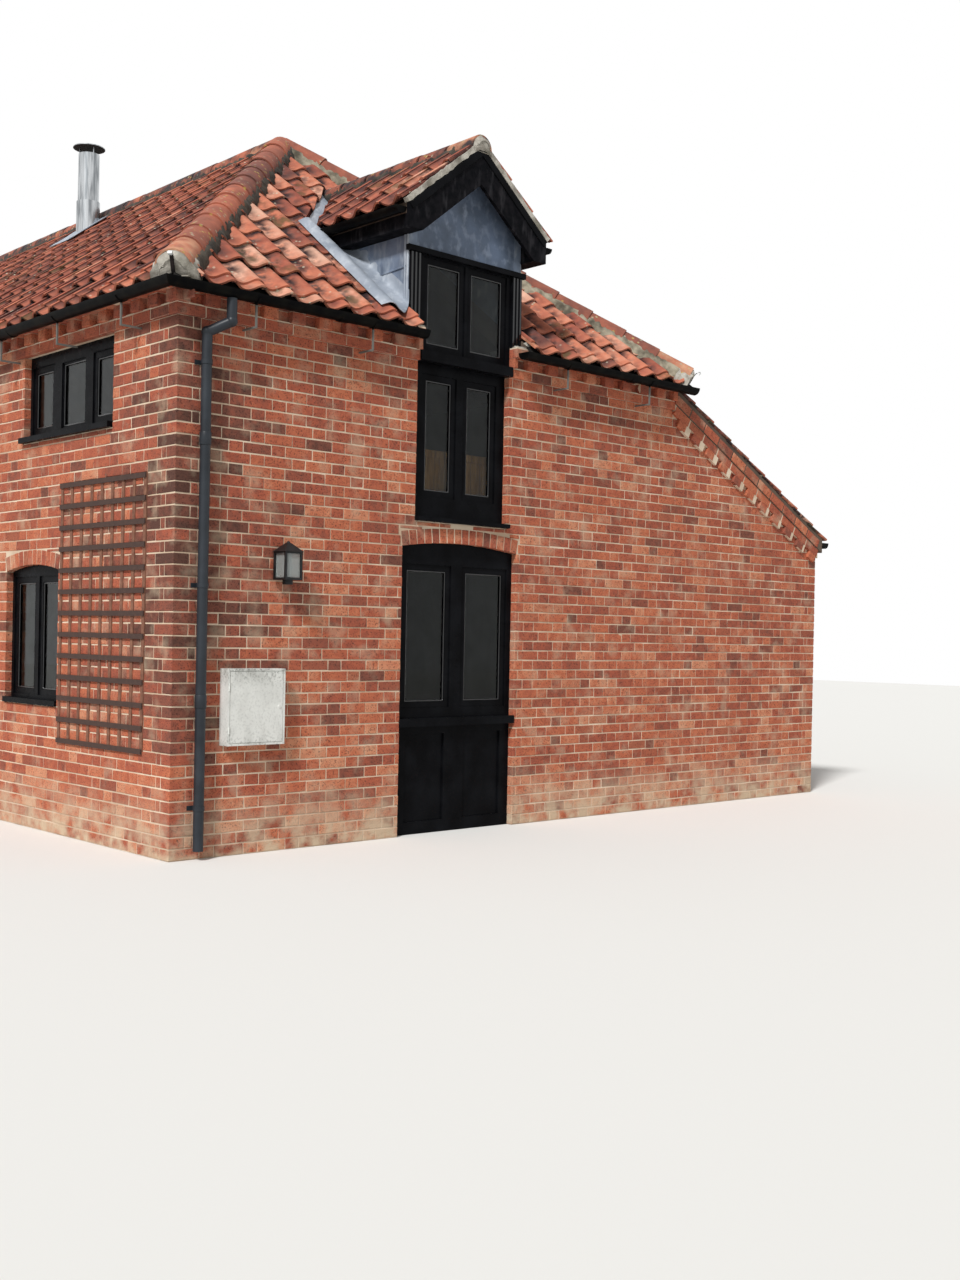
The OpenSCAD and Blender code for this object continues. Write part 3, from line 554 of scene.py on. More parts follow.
@dataclass(frozen=True)
class Finish:
    """A finish that is made once and then dressed on pieces and nodes."""

    name: str
    slot: str

    def paint(self, g: Graph) -> None:
        """Fill the material's node tree."""
        raise NotImplementedError

    def material(self) -> bpy.types.Material:
        """The finish's material, made on first use."""
        found = bpy.data.materials.get(self.name)
        if not found:
            found = bpy.data.materials.new(self.name)
            self.paint(Graph(found))
        return found

    def dress(self, piece: Piece) -> None:
        """Put this finish on a new piece."""
        piece.data.materials.clear()
        piece.data.materials.append(self.material())

    def dress_node(self, node: str) -> None:
        """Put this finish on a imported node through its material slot."""
        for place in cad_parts[node].material_slots:
            place.link = "OBJECT"
            place.material = self.material()


@dataclass(frozen=True)
class LimeMortar(Finish):
    """Lime and sand mortar of the joints, with painted plaster on the walls' inner faces."""

    name: str = "lime_mortar"
    slot: str = "brick"
    joint: str = "#bca38a"
    pale: str = "#dfccb4"
    plaster: str = "#767168"
    inner_x: float = 2.36
    inner_y: float = 5.28

    def paint(self, g: Graph) -> None:
        """Sandy cream with weather stains: matt, with a grain of 2 mm sand."""
        x, y, _ = g.place().parts()
        inside = (abs(x) < self.inner_x) * (abs(y) < self.inner_y)
        shade = g.noise(420, 6).ramp((0.35, self.joint), (0.65, self.pale)).under(self.plaster, inside)
        g.finish(shade, 0.92, (g.noise(5, 3), 1.5), (g.noise(60, 4), 3.0))


@dataclass(frozen=True)
class HandmadeBrick(Finish):
    """Hand-made soft red bricks: sandy, uneven in firing from orange to purple."""

    name: str = "handmade_brick"
    slot: str = "brick"
    dark: str = "#5a3d34"
    plum: str = "#814e40"
    red: str = "#a45843"
    orange: str = "#bb6c4e"
    pale: str = "#cb8c6c"
    pit: str = "#3c2523"
    splash: str = "#c9b79c"

    def paint(self, g: Graph) -> None:
        """Each brick has its own firing; a creased sandy face; lime splashes near the ground."""
        firing, hue, _ = g.carried("fired")
        cloud = (g.noise(48, 6) + -0.5) * 0.55
        shade = (firing + cloud).ramp((0.05, self.dark), (0.28, self.plum), (0.5, self.red),
                                      (0.75, self.orange), (0.97, self.pale))
        shade = shade.under(self.plum, hue.ramp((0.84, 0.0), (1.0, 0.5)))
        pits = g.noise(10, 5)
        shade = shade.under(self.pit, pits.ramp((0.32, 0.8), (0.46, 0.0)))
        shade = shade.under(self.splash, g.noise(160, 6).ramp((0.52, 0.0), (0.75, 0.40)))
        foot = g.place().parts()[2].level(0.05, 0.42, 0.85, 0.0)
        shade = shade.under(self.splash, foot * g.noise(130, 6).ramp((0.35, 0.0), (0.6, 1.0)))
        g.finish(shade, 0.9, (pits, 2.6), (g.noise(45, 5, (1, 1, 2.2)), 4.0), Specular_IOR_Level=0.2)


@dataclass(frozen=True)
class ClayPantile(Finish):
    """Clay pantiles, sandfaced, weathered to brown with lichen spots and moss in the pans; grime and painted
    shade darken the pans and laps.
    """

    name: str = "clay_pantile"
    slot: str = "roof_tile"
    brown: str = "#643f39"
    red: str = "#a35a48"
    orange: str = "#ca7d61"
    buff: str = "#dfae96"
    # Dark of soot and of painted shade, in the pans and under the laps
    soot_and_shade: str = "#2b2022"
    grey: str = "#6f5c56"
    lichen: str = "#c4bfa8"
    moss: str = "#4d4a2c"

    def paint(self, g: Graph) -> None:
        """Fired clay with its own tone for each tile: matt, slightly pitted; grime and painted shade darken
        its pans and laps.
        """
        firing, _, damp = g.carried("fired")
        hollow, up, across = g.carried("lie")
        cloud = (g.noise(80, 7) + -0.5) * 0.6
        shade = (firing + cloud).ramp((0.05, self.brown), (0.35, self.red), (0.65, self.orange),
                                      (0.95, self.buff))
        shade = shade.under(self.orange, up.ramp((0.0, 0.45), (0.22, 0.0)))
        # The pans darken towards the tile's upper end: grime, and painted shade where the next row laps over
        pan_grime_and_shade = hollow.ramp((0.10, 0.15), (0.70, 1.0)) * up.ramp((0.0, 0.2), (0.6, 1.0))
        shade = shade.under(self.grey, g.noise(42, 9).ramp((0.40, 0.0), (0.62, 0.85)) * pan_grime_and_shade)
        shade = shade.under(self.soot_and_shade, g.noise(90, 9).ramp((0.41, 0.0), (0.58, 1.0)) * pan_grime_and_shade)
        # Painted shade with dirt: a dark band just below the next row's edge, and along the side lap under
        # the neighbour's roll
        laps = up.ramp((0.68, 0.0), (0.79, 1.0)).math("MAXIMUM", across.ramp((0.11, 1.0), (0.24, 0.0)))
        shade = shade.under(self.soot_and_shade, laps * g.noise(60, 4).ramp((0.35, 0.6), (0.6, 1.0)))
        patch = g.spots(55).ramp((0.10, 1.0), (0.22, 0.0)) * g.noise(330, 3).ramp((0.50, 0.0), (0.60, 0.85))
        shade = shade.under(self.lichen, patch)
        green = damp.ramp((0.72, 0.0), (1.0, 0.7)) * g.noise(90, 6).ramp((0.45, 0.0), (0.62, 1.0))
        g.finish(shade.under(self.moss, green), 0.86, (g.noise(6, 4), 1.2), (g.noise(40, 4), 2.0),
                 Specular_IOR_Level=0.2)


@dataclass(frozen=True)
class RidgeClay(Finish):
    """Half-round hip and ridge tiles: the same clay, with more moss and yellow lichen."""

    name: str = "ridge_clay"
    slot: str = "ridge_tile"
    dark: str = "#33292a"
    brown: str = "#834d3f"
    orange: str = "#b86a50"
    buff: str = "#cb9a7a"
    yellow: str = "#b7a052"
    grey: str = "#aaa48f"

    def paint(self, g: Graph) -> None:
        """Weathered clay, dark with moss in patches, spotted by lichen as wide as coins."""
        firing, _, damp = g.carried("fired")
        cloud = (g.noise(90, 6) + -0.5) * 0.5
        shade = (firing + cloud).ramp((0.05, self.dark), (0.4, self.brown), (0.8, self.orange),
                                      (1.0, self.buff))
        shade = shade.under(self.dark, g.noise(150, 7).ramp((0.40, 0.0), (0.62, 1.0)) * damp)
        dots = g.spots(50).ramp((0.16, 1.0), (0.30, 0.0)) * g.noise(220, 3).ramp((0.46, 0.0), (0.58, 0.9))
        shade = shade.under(g.noise(120, 2).ramp((0.45, self.grey), (0.55, self.yellow)), dots)
        g.finish(shade, 0.88, (g.noise(7, 4), 1.5), (g.noise(45, 4), 2.5))


@dataclass(frozen=True)
class Boarding(Finish):
    """Varnished pine boards of the guard panel."""

    name: str = "varnished_pine"
    slot: str = "pine"
    light: str = "#cb8c4c"
    dark: str = "#96602f"
    shadow: str = "#2e1d10"
    board_mm: float = 95.0

    def paint(self, g: Graph) -> None:
        """Golden brown with grain and a joint at each board's edge."""
        grain = g.noise(14, 5, (1, 1, 0.08))
        shade = grain.ramp((0.3, self.dark), (0.6, self.light))
        lap = (g.place().parts()[0] * (1 / (self.board_mm * MM))).math("FRACT")
        gap = lap.ramp((0.0, 1.0), (0.04, 0.0), (0.96, 0.0), (1.0, 1.0))
        g.finish(shade.under(self.shadow, gap * 0.8), 0.38, (grain, 0.3), (gap, -2.0),
                 Coat_Weight=0.3, Coat_Roughness=0.2)


@dataclass(frozen=True)
class CastGutter(Finish):
    """Black painted cast gutters, with galvanised brackets under them."""

    name: str = "painted_gutter"
    slot: str = "gutter_black"
    black: str = "#09090a"
    dusty: str = "#161512"
    zinc: str = "#6f6d68"
    rod_low: float = 3.44
    rod_high: float = 3.606

    def paint(self, g: Graph) -> None:
        """Satin black with mossy dust; the spikes and rods below it are dull zinc."""
        z = g.place().parts()[2]
        rod = z.math("GREATER_THAN", self.rod_low) * (z < self.rod_high)
        shade = g.noise(90, 6).ramp((0.42, self.black), (0.72, self.dusty)).under(self.zinc, rod)
        g.finish(shade, 0.4, (g.noise(8, 4), 0.6), Specular_IOR_Level=0.03)


@dataclass(frozen=True)
class SatinSteel(Finish):
    """Stainless steel flue pipe, satin, with dull bands, and faces that look down painted black as soot and
    shade.
    """

    name: str = "satin_stainless"
    slot: str = "stainless"
    steel: str = "#c6c9cb"
    dull: str = "#878b8e"
    soot_and_shade: str = "#1c1917"

    def paint(self, g: Graph) -> None:
        """Grey metal with rain streaks down it; faces that look down are painted black, as soot and painted
        shade.
        """
        streak = g.noise(25, 4, (1, 1, 0.08))
        shade = streak.ramp((0.38, self.dull), (0.60, self.steel))
        # Faces that look down get painted shade with soot: black and not metallic
        bare = (g.add("ShaderNodeNewGeometry", out="Normal").parts()[2] + 1.0).ramp((0.2, 0.0), (0.7, 1.0))
        down_soot_and_shade = bare * -1.0 + 1.0
        rough = streak.ramp((0.3, 0.40), (0.7, 0.24)).math("MAXIMUM", down_soot_and_shade)
        g.finish(shade.under(self.soot_and_shade, down_soot_and_shade), rough, Metallic=bare)


@dataclass(frozen=True)
class MeterPlastic(Finish):
    """Glass-reinforced plastic meter box, once white, chalked and streaked by algae."""

    name: str = "weathered_grp"
    slot: str = "meter_white"
    white: str = "#dedfda"
    grey: str = "#a9aaa4"
    dark: str = "#6b6c66"
    foot: float = 0.73
    top: float = 1.235

    def paint(self, g: Graph) -> None:
        """Off-white, speckled with grey algae that is thickest at its top and foot."""
        height = g.place().parts()[2].level(self.foot, self.top)
        edges = height.ramp((0.0, 0.7), (0.12, 0.25), (0.75, 0.20), (1.0, 0.9))
        film = g.noise(70, 7, (1, 1, 0.6)).ramp((0.42, 0.1), (0.64, 1.0))
        shade = (film * edges).ramp((0.0, self.white), (1.0, self.grey))
        shade = shade.under(self.dark, g.noise(16, 6).ramp((0.50, 0.0), (0.66, 0.8)) * edges)
        g.finish(shade, 0.6, (g.noise(3, 3), 0.3))


@dataclass(frozen=True)
class OldLath(Finish):
    """Trellis laths of rough softwood, stained brown and greyed."""

    name: str = "weathered_lath"
    slot: str = "trellis_wood"
    brown: str = "#643d2e"
    grey: str = "#855b45"
    shaded: str = "#2a1f1c"
    front: float = -2.486

    def paint(self, g: Graph) -> None:
        """The cross laths in front are darker than the uprights behind them."""
        grain = g.noise(12, 5, (1, 0.3, 0.3))
        ahead = g.place().parts()[0] < self.front
        shade = grain.ramp((0.3, self.brown), (0.7, self.grey)).under(self.shaded, ahead * 0.85)
        g.finish(shade, 0.85, (grain, 1.0))


@dataclass(frozen=True)
class Coat(Finish):
    """Two tones in patches, at times a third over them, and a grain.

    A pattern is a size in millimetres, a detail and at times a stretch, as `Graph.noise` takes them.
    """

    tones: tuple[str, str] | str
    rough: tuple | float
    bumps: tuple
    patch: tuple = (200, 6)
    at: tuple[float, float] = (0.35, 0.68)
    over: tuple = ()
    shader: tuple = ()

    def paint(self, g: Graph) -> None:
        """Lay the tones, the third one and the grain; roughness has a pattern or follows the patches."""
        shade, rough, patch = self.tones, self.rough, g.noise(*self.patch)
        if isinstance(shade, tuple):
            shade = patch.ramp(*zip(self.at, shade))
        if self.over:
            colour, pattern, *stops = self.over
            shade = shade.under(colour, g.noise(*pattern).ramp(*stops))
        if isinstance(rough, tuple):
            low, high, *pattern = rough
            rough = (g.noise(*pattern) if pattern else patch).ramp((0.3, low), (0.7, high))
        bumps = ((g.noise(*pattern), depth) for pattern, depth in self.bumps)
        g.finish(shade, rough, *bumps, **dict(self.shader))


def bedding(name: str, dark: str, pale: str, algae: str) -> Coat:
    """Lumpy, matt mortar that beds tiles, with algae in its hollows."""
    return Coat(name, "ridge_tile", (dark, pale), 0.95, (((12, 5), 4.0),), (80, 6), (0.35, 0.6),
                (algae, (170, 5), (0.5, 0.0), (0.68, 0.8)))


def lead(name: str, fresh: str, bloom: str, white: str, streak: float = 0.4) -> Coat:
    """Milled lead under its dull bloom, with soft dents of a hand's width and pale runs down it."""
    return Coat(name, "lead", (fresh, bloom), (0.42, 0.62, 120, 4), (((90, 2), 4.0),), (240, 6), (0.3, 0.62),
                (white, (60, 6, (1, 1, streak)), (0.50, 0.0), (0.75, 0.7)),
                (("Metallic", 0.15), ("Specular_IOR_Level", 0.35)))


def plain(name: str, slot: str, tones: tuple[str, str], patch: float, grain: float, depth: float,
          rough: tuple[float, float], metal: float = 0.0) -> Coat:
    """A simple coated, cast or sawn surface: sizes of its patches and grain, and the grain's depth."""
    return Coat(name, slot, tones, rough, (((grain, 3), depth),), (patch, 6),
                shader=(("Metallic", metal), ("Specular_IOR_Level", 0.25)))


MORTAR, BRICK, TILE, RIDGE = LimeMortar(), HandmadeBrick(), ClayPantile(), RidgeClay()
PINE, GUTTER, STEEL, METER, LATH = Boarding(), CastGutter(), SatinSteel(), MeterPlastic(), OldLath()
BEDDING = bedding("bedding_mortar", "#8b857b", "#bdb8ad", "#5a5646")
# The same mortar, dark with moss and painted shade, along hips and ridges, and where lichen has covered it
MOSS_AND_SHADE_MORTAR = bedding("mossy_mortar", "#27221d", "#4a4339", "#1b1914")
LICHENED = bedding("lichened_mortar", "#6f6858", "#a59c88", "#363126")
LEAD = lead("milled_lead", "#596475", "#7f8ca0", "#aab3bd")
# Lead washed pale by the rain, and the gable's lead, painted darker as shade under the barge boards, and
# blotchy
PALE_LEAD = lead("washed_lead", "#828b97", "#a3aab4", "#c6ccd2")
SHADED_GABLE_LEAD = lead("sheltered_lead", "#434d5b", "#66748a", "#8d98aa", 0.7)
# Black oil paint: satin and brushed on the joinery, glossy on the beads, chalky on the barge boards
SATIN = (("Specular_IOR_Level", 0.03),)
JOINERY = Coat("black_painted_timber", "black_timber", ("#0a0a0c", "#151619"), (0.22, 0.38, 60, 4),
               (((3, 3, (1, 1, 0.15)), 0.35),), (190, 5), (0.35, 0.75), shader=SATIN)
BEAD = Coat("gloss_black_bead", "black_timber", ("#0a0a0c", "#151619"), 0.16, (((4, 3), 0.2),), (80, 4),
            (0.35, 0.75), shader=(("Specular_IOR_Level", 0.6),))
BARGE = Coat("worn_black_timber", "black_timber", ("#0a0b0e", "#18171a"), 0.62,
             (((5, 4), 0.8), ((40, 3), 1.2)), (55, 6), (0.38, 0.66),
             ("#3b3a3d", (45, 5, (1, 1, 0.25)), (0.55, 0.0), (0.75, 0.6)), SATIN)
# Thin clear glass with some dust on it, and seeded lantern glass, a little cloudy
GLASS = Coat("window_glass", "glass", ("#bcc5c5", "#a9b1b0"), 0.02, (), (160, 5), (0.35, 0.7),
             shader=(("Transmission_Weight", 1.0), ("IOR", 1.25)))
LANTERN_GLASS = Coat("seeded_lantern_glass", "glass", "#d5dbd9", 0.18, (((6, 2), 0.6),),
                     shader=(("Transmission_Weight", 0.75), ("IOR", 1.45)))
PIPE = plain("charcoal_pipe", "pipe_grey", ("#23272c", "#30353b"), 200, 3, 0.1, (0.35, 0.5))
LANTERN = plain("black_powder_coat", "lantern_black", ("#141516", "#232425"), 60, 2, 0.15, (0.35, 0.5))
CONCRETE = plain("floated_concrete", "concrete", ("#9c978d", "#aaa69c"), 300, 4, 0.6, (0.85, 0.95))
BOARDS = plain("roof_boarding", "roof_tile", ("#4b4038", "#64564a"), 150, 9, 0.8, (0.8, 0.95))
FLOORING = plain("floor_boards", "floor_boards", ("#8d6a45", "#a07c54"), 200, 6, 0.5, (0.5, 0.7))
IRON = plain("dark_iron", "lantern_black", ("#1b1a1a", "#2e2624"), 30, 3, 0.4, (0.5, 0.75), 0.4)
ZINC = plain("dull_zinc", "stainless", ("#b9bbbb", "#d5d6d4"), 20, 3, 0.3, (0.4, 0.6), 0.3)
FELT = plain("eaves_felt", "gutter_black", ("#141312", "#23211e"), 60, 4, 0.6, (0.8, 0.95))


def show(piece: Piece, finish: Finish, *nodes: str, lumps: tuple[float, float] | None = None,
         angle: float | None = None) -> None:
    """Dress a finished piece, put it on the body and report it.

    Args:
        piece: The piece, in place.
        finish: What it is made of.
        nodes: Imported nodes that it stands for.
        lumps: Height and grain of a rough surface.
        angle: Shades it smooth, apart from edges sharper than this many degrees.
    """
    if lumps:
        roughen(piece, *lumps)
    if angle:
        smooth(piece, angle)
    finish.dress(piece)
    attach(piece, ROOT)
    if nodes:
        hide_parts(*nodes)
    log.info("%s: %d faces", piece.name, len(piece.data.polygons))


# Brickwork

@dataclass(frozen=True)
class Brick:
    """The visible face of one brick in its wall's plane, and how deep the brick is drawn."""

    left: float
    right: float
    low: float
    high: float
    depth: float = 0.012
    out: float = 0.0


@dataclass(frozen=True)
class Opening:
    """A window or door hole in a wall's face, with a segmental arch over it if it has a rise."""

    centre: float
    width: float
    low: float
    high: float
    rise: float = 0.0
    ring: float = 0.108

    gap = 0.006
    near = 0.03
    slack = 0.02
    jamb_depth = 0.10
    into = 0.0025
    least = 0.014

    @property
    def radius(self) -> float:
        """Radius of the arch's underside."""
        return (self.width ** 2 / 4 + self.rise ** 2) / (2 * self.rise)

    @property
    def axis_z(self) -> float:
        """Height of the arch's centre."""
        return self.high + self.rise - self.radius

    @property
    def half_angle(self) -> float:
        """Angle from the crown to a springing."""
        return math.asin(self.width / 2 / self.radius)

    def reach(self, low: float, high: float) -> float:
        """Half width that this opening takes from a course, 0 where it takes nothing."""
        top = self.high + self.rise + self.ring if self.rise else self.high
        if high <= self.low or low >= top:
            return 0.0
        if not self.rise or high <= self.high:
            return self.width / 2
        outer = self.radius + self.ring
        corner = self.axis_z + outer * math.cos(self.half_angle)
        if low <= corner:
            return (min(high, corner) - self.axis_z) * math.tan(self.half_angle) + self.gap
        return math.sqrt(max(outer ** 2 - (low - self.axis_z) ** 2, 0)) + self.gap

    def over(self, x: float) -> float:
        """Height of the ring's outside at a place along the wall."""
        if not self.rise:
            return self.high
        return self.axis_z + math.sqrt((self.radius + self.ring) ** 2 - (x - self.centre) ** 2) + self.gap

    def fit(self, brick: Brick) -> list[Brick]:
        """Cut one brick so that it stays clear of this opening, into up to four pieces."""
        reach = self.reach(brick.low, brick.high)
        left, right = self.centre - reach, self.centre + reach
        plain = self.low - self.slack < brick.low < self.high - self.slack
        if reach and plain and -self.near < brick.right - left <= 0:
            return [replace(brick, right=left + self.into, depth=self.jamb_depth)]
        if reach and plain and 0 <= brick.left - right < self.near:
            return [replace(brick, left=right - self.into, depth=self.jamb_depth)]
        if not reach or brick.left >= right or brick.right <= left:
            return [brick]
        kept = []
        into, depth = (self.into, self.jamb_depth) if plain else (0.0, brick.depth)
        if left - brick.left > self.least:
            kept.append(replace(brick, right=left + into, depth=depth))
        if brick.right - right > self.least:
            kept.append(replace(brick, left=right - into, depth=depth))
        middle = replace(brick, left=max(brick.left, left), right=min(brick.right, right))
        if self.low - brick.low > self.least:
            kept.append(replace(middle, high=min(brick.high, self.low - self.gap)))
        crown = self.over((middle.left + middle.right) / 2)
        if brick.high - crown > self.least:
            kept.append(replace(middle, low=crown))
        return kept


@dataclass
class Bond:
    """Flemish bond: a stretcher and a header by turns, with a closer after each header quoin."""

    joint: float = 0.009
    perpend: float = 0.006
    stretcher: float = 0.225
    header: float = 0.1125
    closer: float = 0.05625
    course: float = 0.076
    proud: float = 0.0035
    bevel: float = 0.0035
    uneven: float = 0.0009
    set_back: float = 0.0006
    inset: float = 0.1
    tone: float = 0.58
    tone_spread: float = 0.15
    corner: tuple = (-2.475, -5.4)
    # Darkening round the left front corner, as weathering and painted shade: its amount, reach and height
    corner_weather_and_shade: float = 0.38
    corner_reach: float = 0.6
    corner_z: tuple = (2.1, 1.45)
    foot_pale: float = 0.10
    foot_high: float = 0.8

    def __post_init__(self) -> None:
        """Start the random numbers, and model the brick's face and the whole brick once."""
        self.rng = np.random.default_rng(7)
        face = block("brick", (-1, -1, -1), (1, 1, 1))
        with editing(face):
            pick(face, "FACE", lambda middle, normal: normal.y < -0.9)
            bpy.ops.mesh.bevel(offset=self.inset, segments=1, affect="EDGES")
            pick(face, "FACE", lambda middle, normal: normal.y > 0.9)
            bpy.ops.mesh.delete(type="FACE")
        self.face = Stamp(face)
        self.quoin = Stamp(block("quoin", (-1, -1, -1), (1, 1, 1), self.inset))

    def row(self, start: float, length: float, number: int, header_first: bool) -> list[Brick]:
        """Bricks of one course from a start along the wall, with their joints taken off.

        Args:
            start: Where the course starts.
            length: Length of the course.
            number: The course's number from the ground, from 0.
            header_first: Whether it starts and ends with a header and its closer.

        Returns:
            The bricks from end to end.
        """
        ends = [self.header, self.closer] if header_first else []
        room = length - 2 * sum(ends) - self.stretcher
        pairs = round(room / (self.stretcher + self.header))
        cells = ends + [self.stretcher, self.header] * pairs + [self.stretcher] + ends[::-1]
        bricks, at, low = [], start, number * self.course
        for cell in cells:
            width = cell * length / sum(cells)
            bricks.append(Brick(at + self.perpend / 2, at + width - self.perpend / 2,
                                low + self.joint / 2, low + self.course - self.joint / 2))
            at += width
        return bricks

    def stretch(self, stamp: Stamp, middles: np.ndarray, halves: np.ndarray) -> np.ndarray:
        """Points of a unit brick's copies from their middles and half extents, with even bevels."""
        corner = np.sign(stamp.points)
        eased = (stamp.points - corner) * (self.bevel / self.inset)
        points = middles[:, None, :] + corner[None] * halves[:, None, :] + eased[None]
        return points + self.rng.normal(0, self.uneven, points.shape)

    def firing(self, middles: np.ndarray, matrix: Matrix) -> np.ndarray:
        """Firing, hue and a spare number for each brick by its middle: darker near the left front corner, as
        weathering and painted shade.
        """
        turn = np.array(matrix)
        x, y, z = (middles @ turn[:3, :3].T + turn[:3, 3]).T
        tones = self.rng.random((len(x), 3))
        firing = self.tone + self.tone_spread * self.rng.normal(size=len(x)).clip(-2.4, 2.0)
        away = np.hypot(x - self.corner[0], y - self.corner[1]) / self.corner_reach
        up = (z - self.corner_z[0]) / self.corner_z[1]
        # Bricks near the left front corner, about mid height, are darker: weathering, and painted shade on
        # the front wall
        firing -= self.corner_weather_and_shade * np.exp(-away ** 2) * np.exp(-up ** 4)
        firing += self.foot_pale * np.exp(-(z / self.foot_high) ** 2)
        tones[:, 0] = firing.clip(0.02, 0.98)
        return tones

    def lay(self, name: str, bricks: list[Brick], matrix: Matrix) -> None:
        """Make one piece of the brick faces in a wall's own plane, from the wall's frame."""
        data = np.array([(b.left, b.right, b.low, b.high, b.depth, b.out) for b in bricks])
        left, right, low, high, depth, out = data.T
        front = -(out + self.proud + self.rng.normal(0, self.set_back, len(data)))
        middles = np.stack([(left + right) / 2, (front + depth) / 2, (low + high) / 2], axis=1)
        halves = np.stack([(right - left) / 2, (depth - front) / 2, (high - low) / 2], axis=1)
        points = self.stretch(self.face, middles, halves)
        show(self.face.press(name, points, self.firing(middles, matrix), matrix), BRICK)

    def turned(self, name: str, spots: Spots, matrix: Matrix) -> Piece:
        """Make one mesh of whole bricks at angles, from the frame and half extents of each."""
        points = self.stretch(self.quoin, np.zeros((len(spots), 3)), np.array([half for _, half in spots]))
        frames = np.array([np.array(m) for m, _ in spots])
        points = np.einsum("nij,nkj->nki", frames[:, :3, :3], points) + frames[:, None, :3, 3]
        return self.quoin.press(name, points, self.firing(points.mean(axis=1), matrix), matrix)


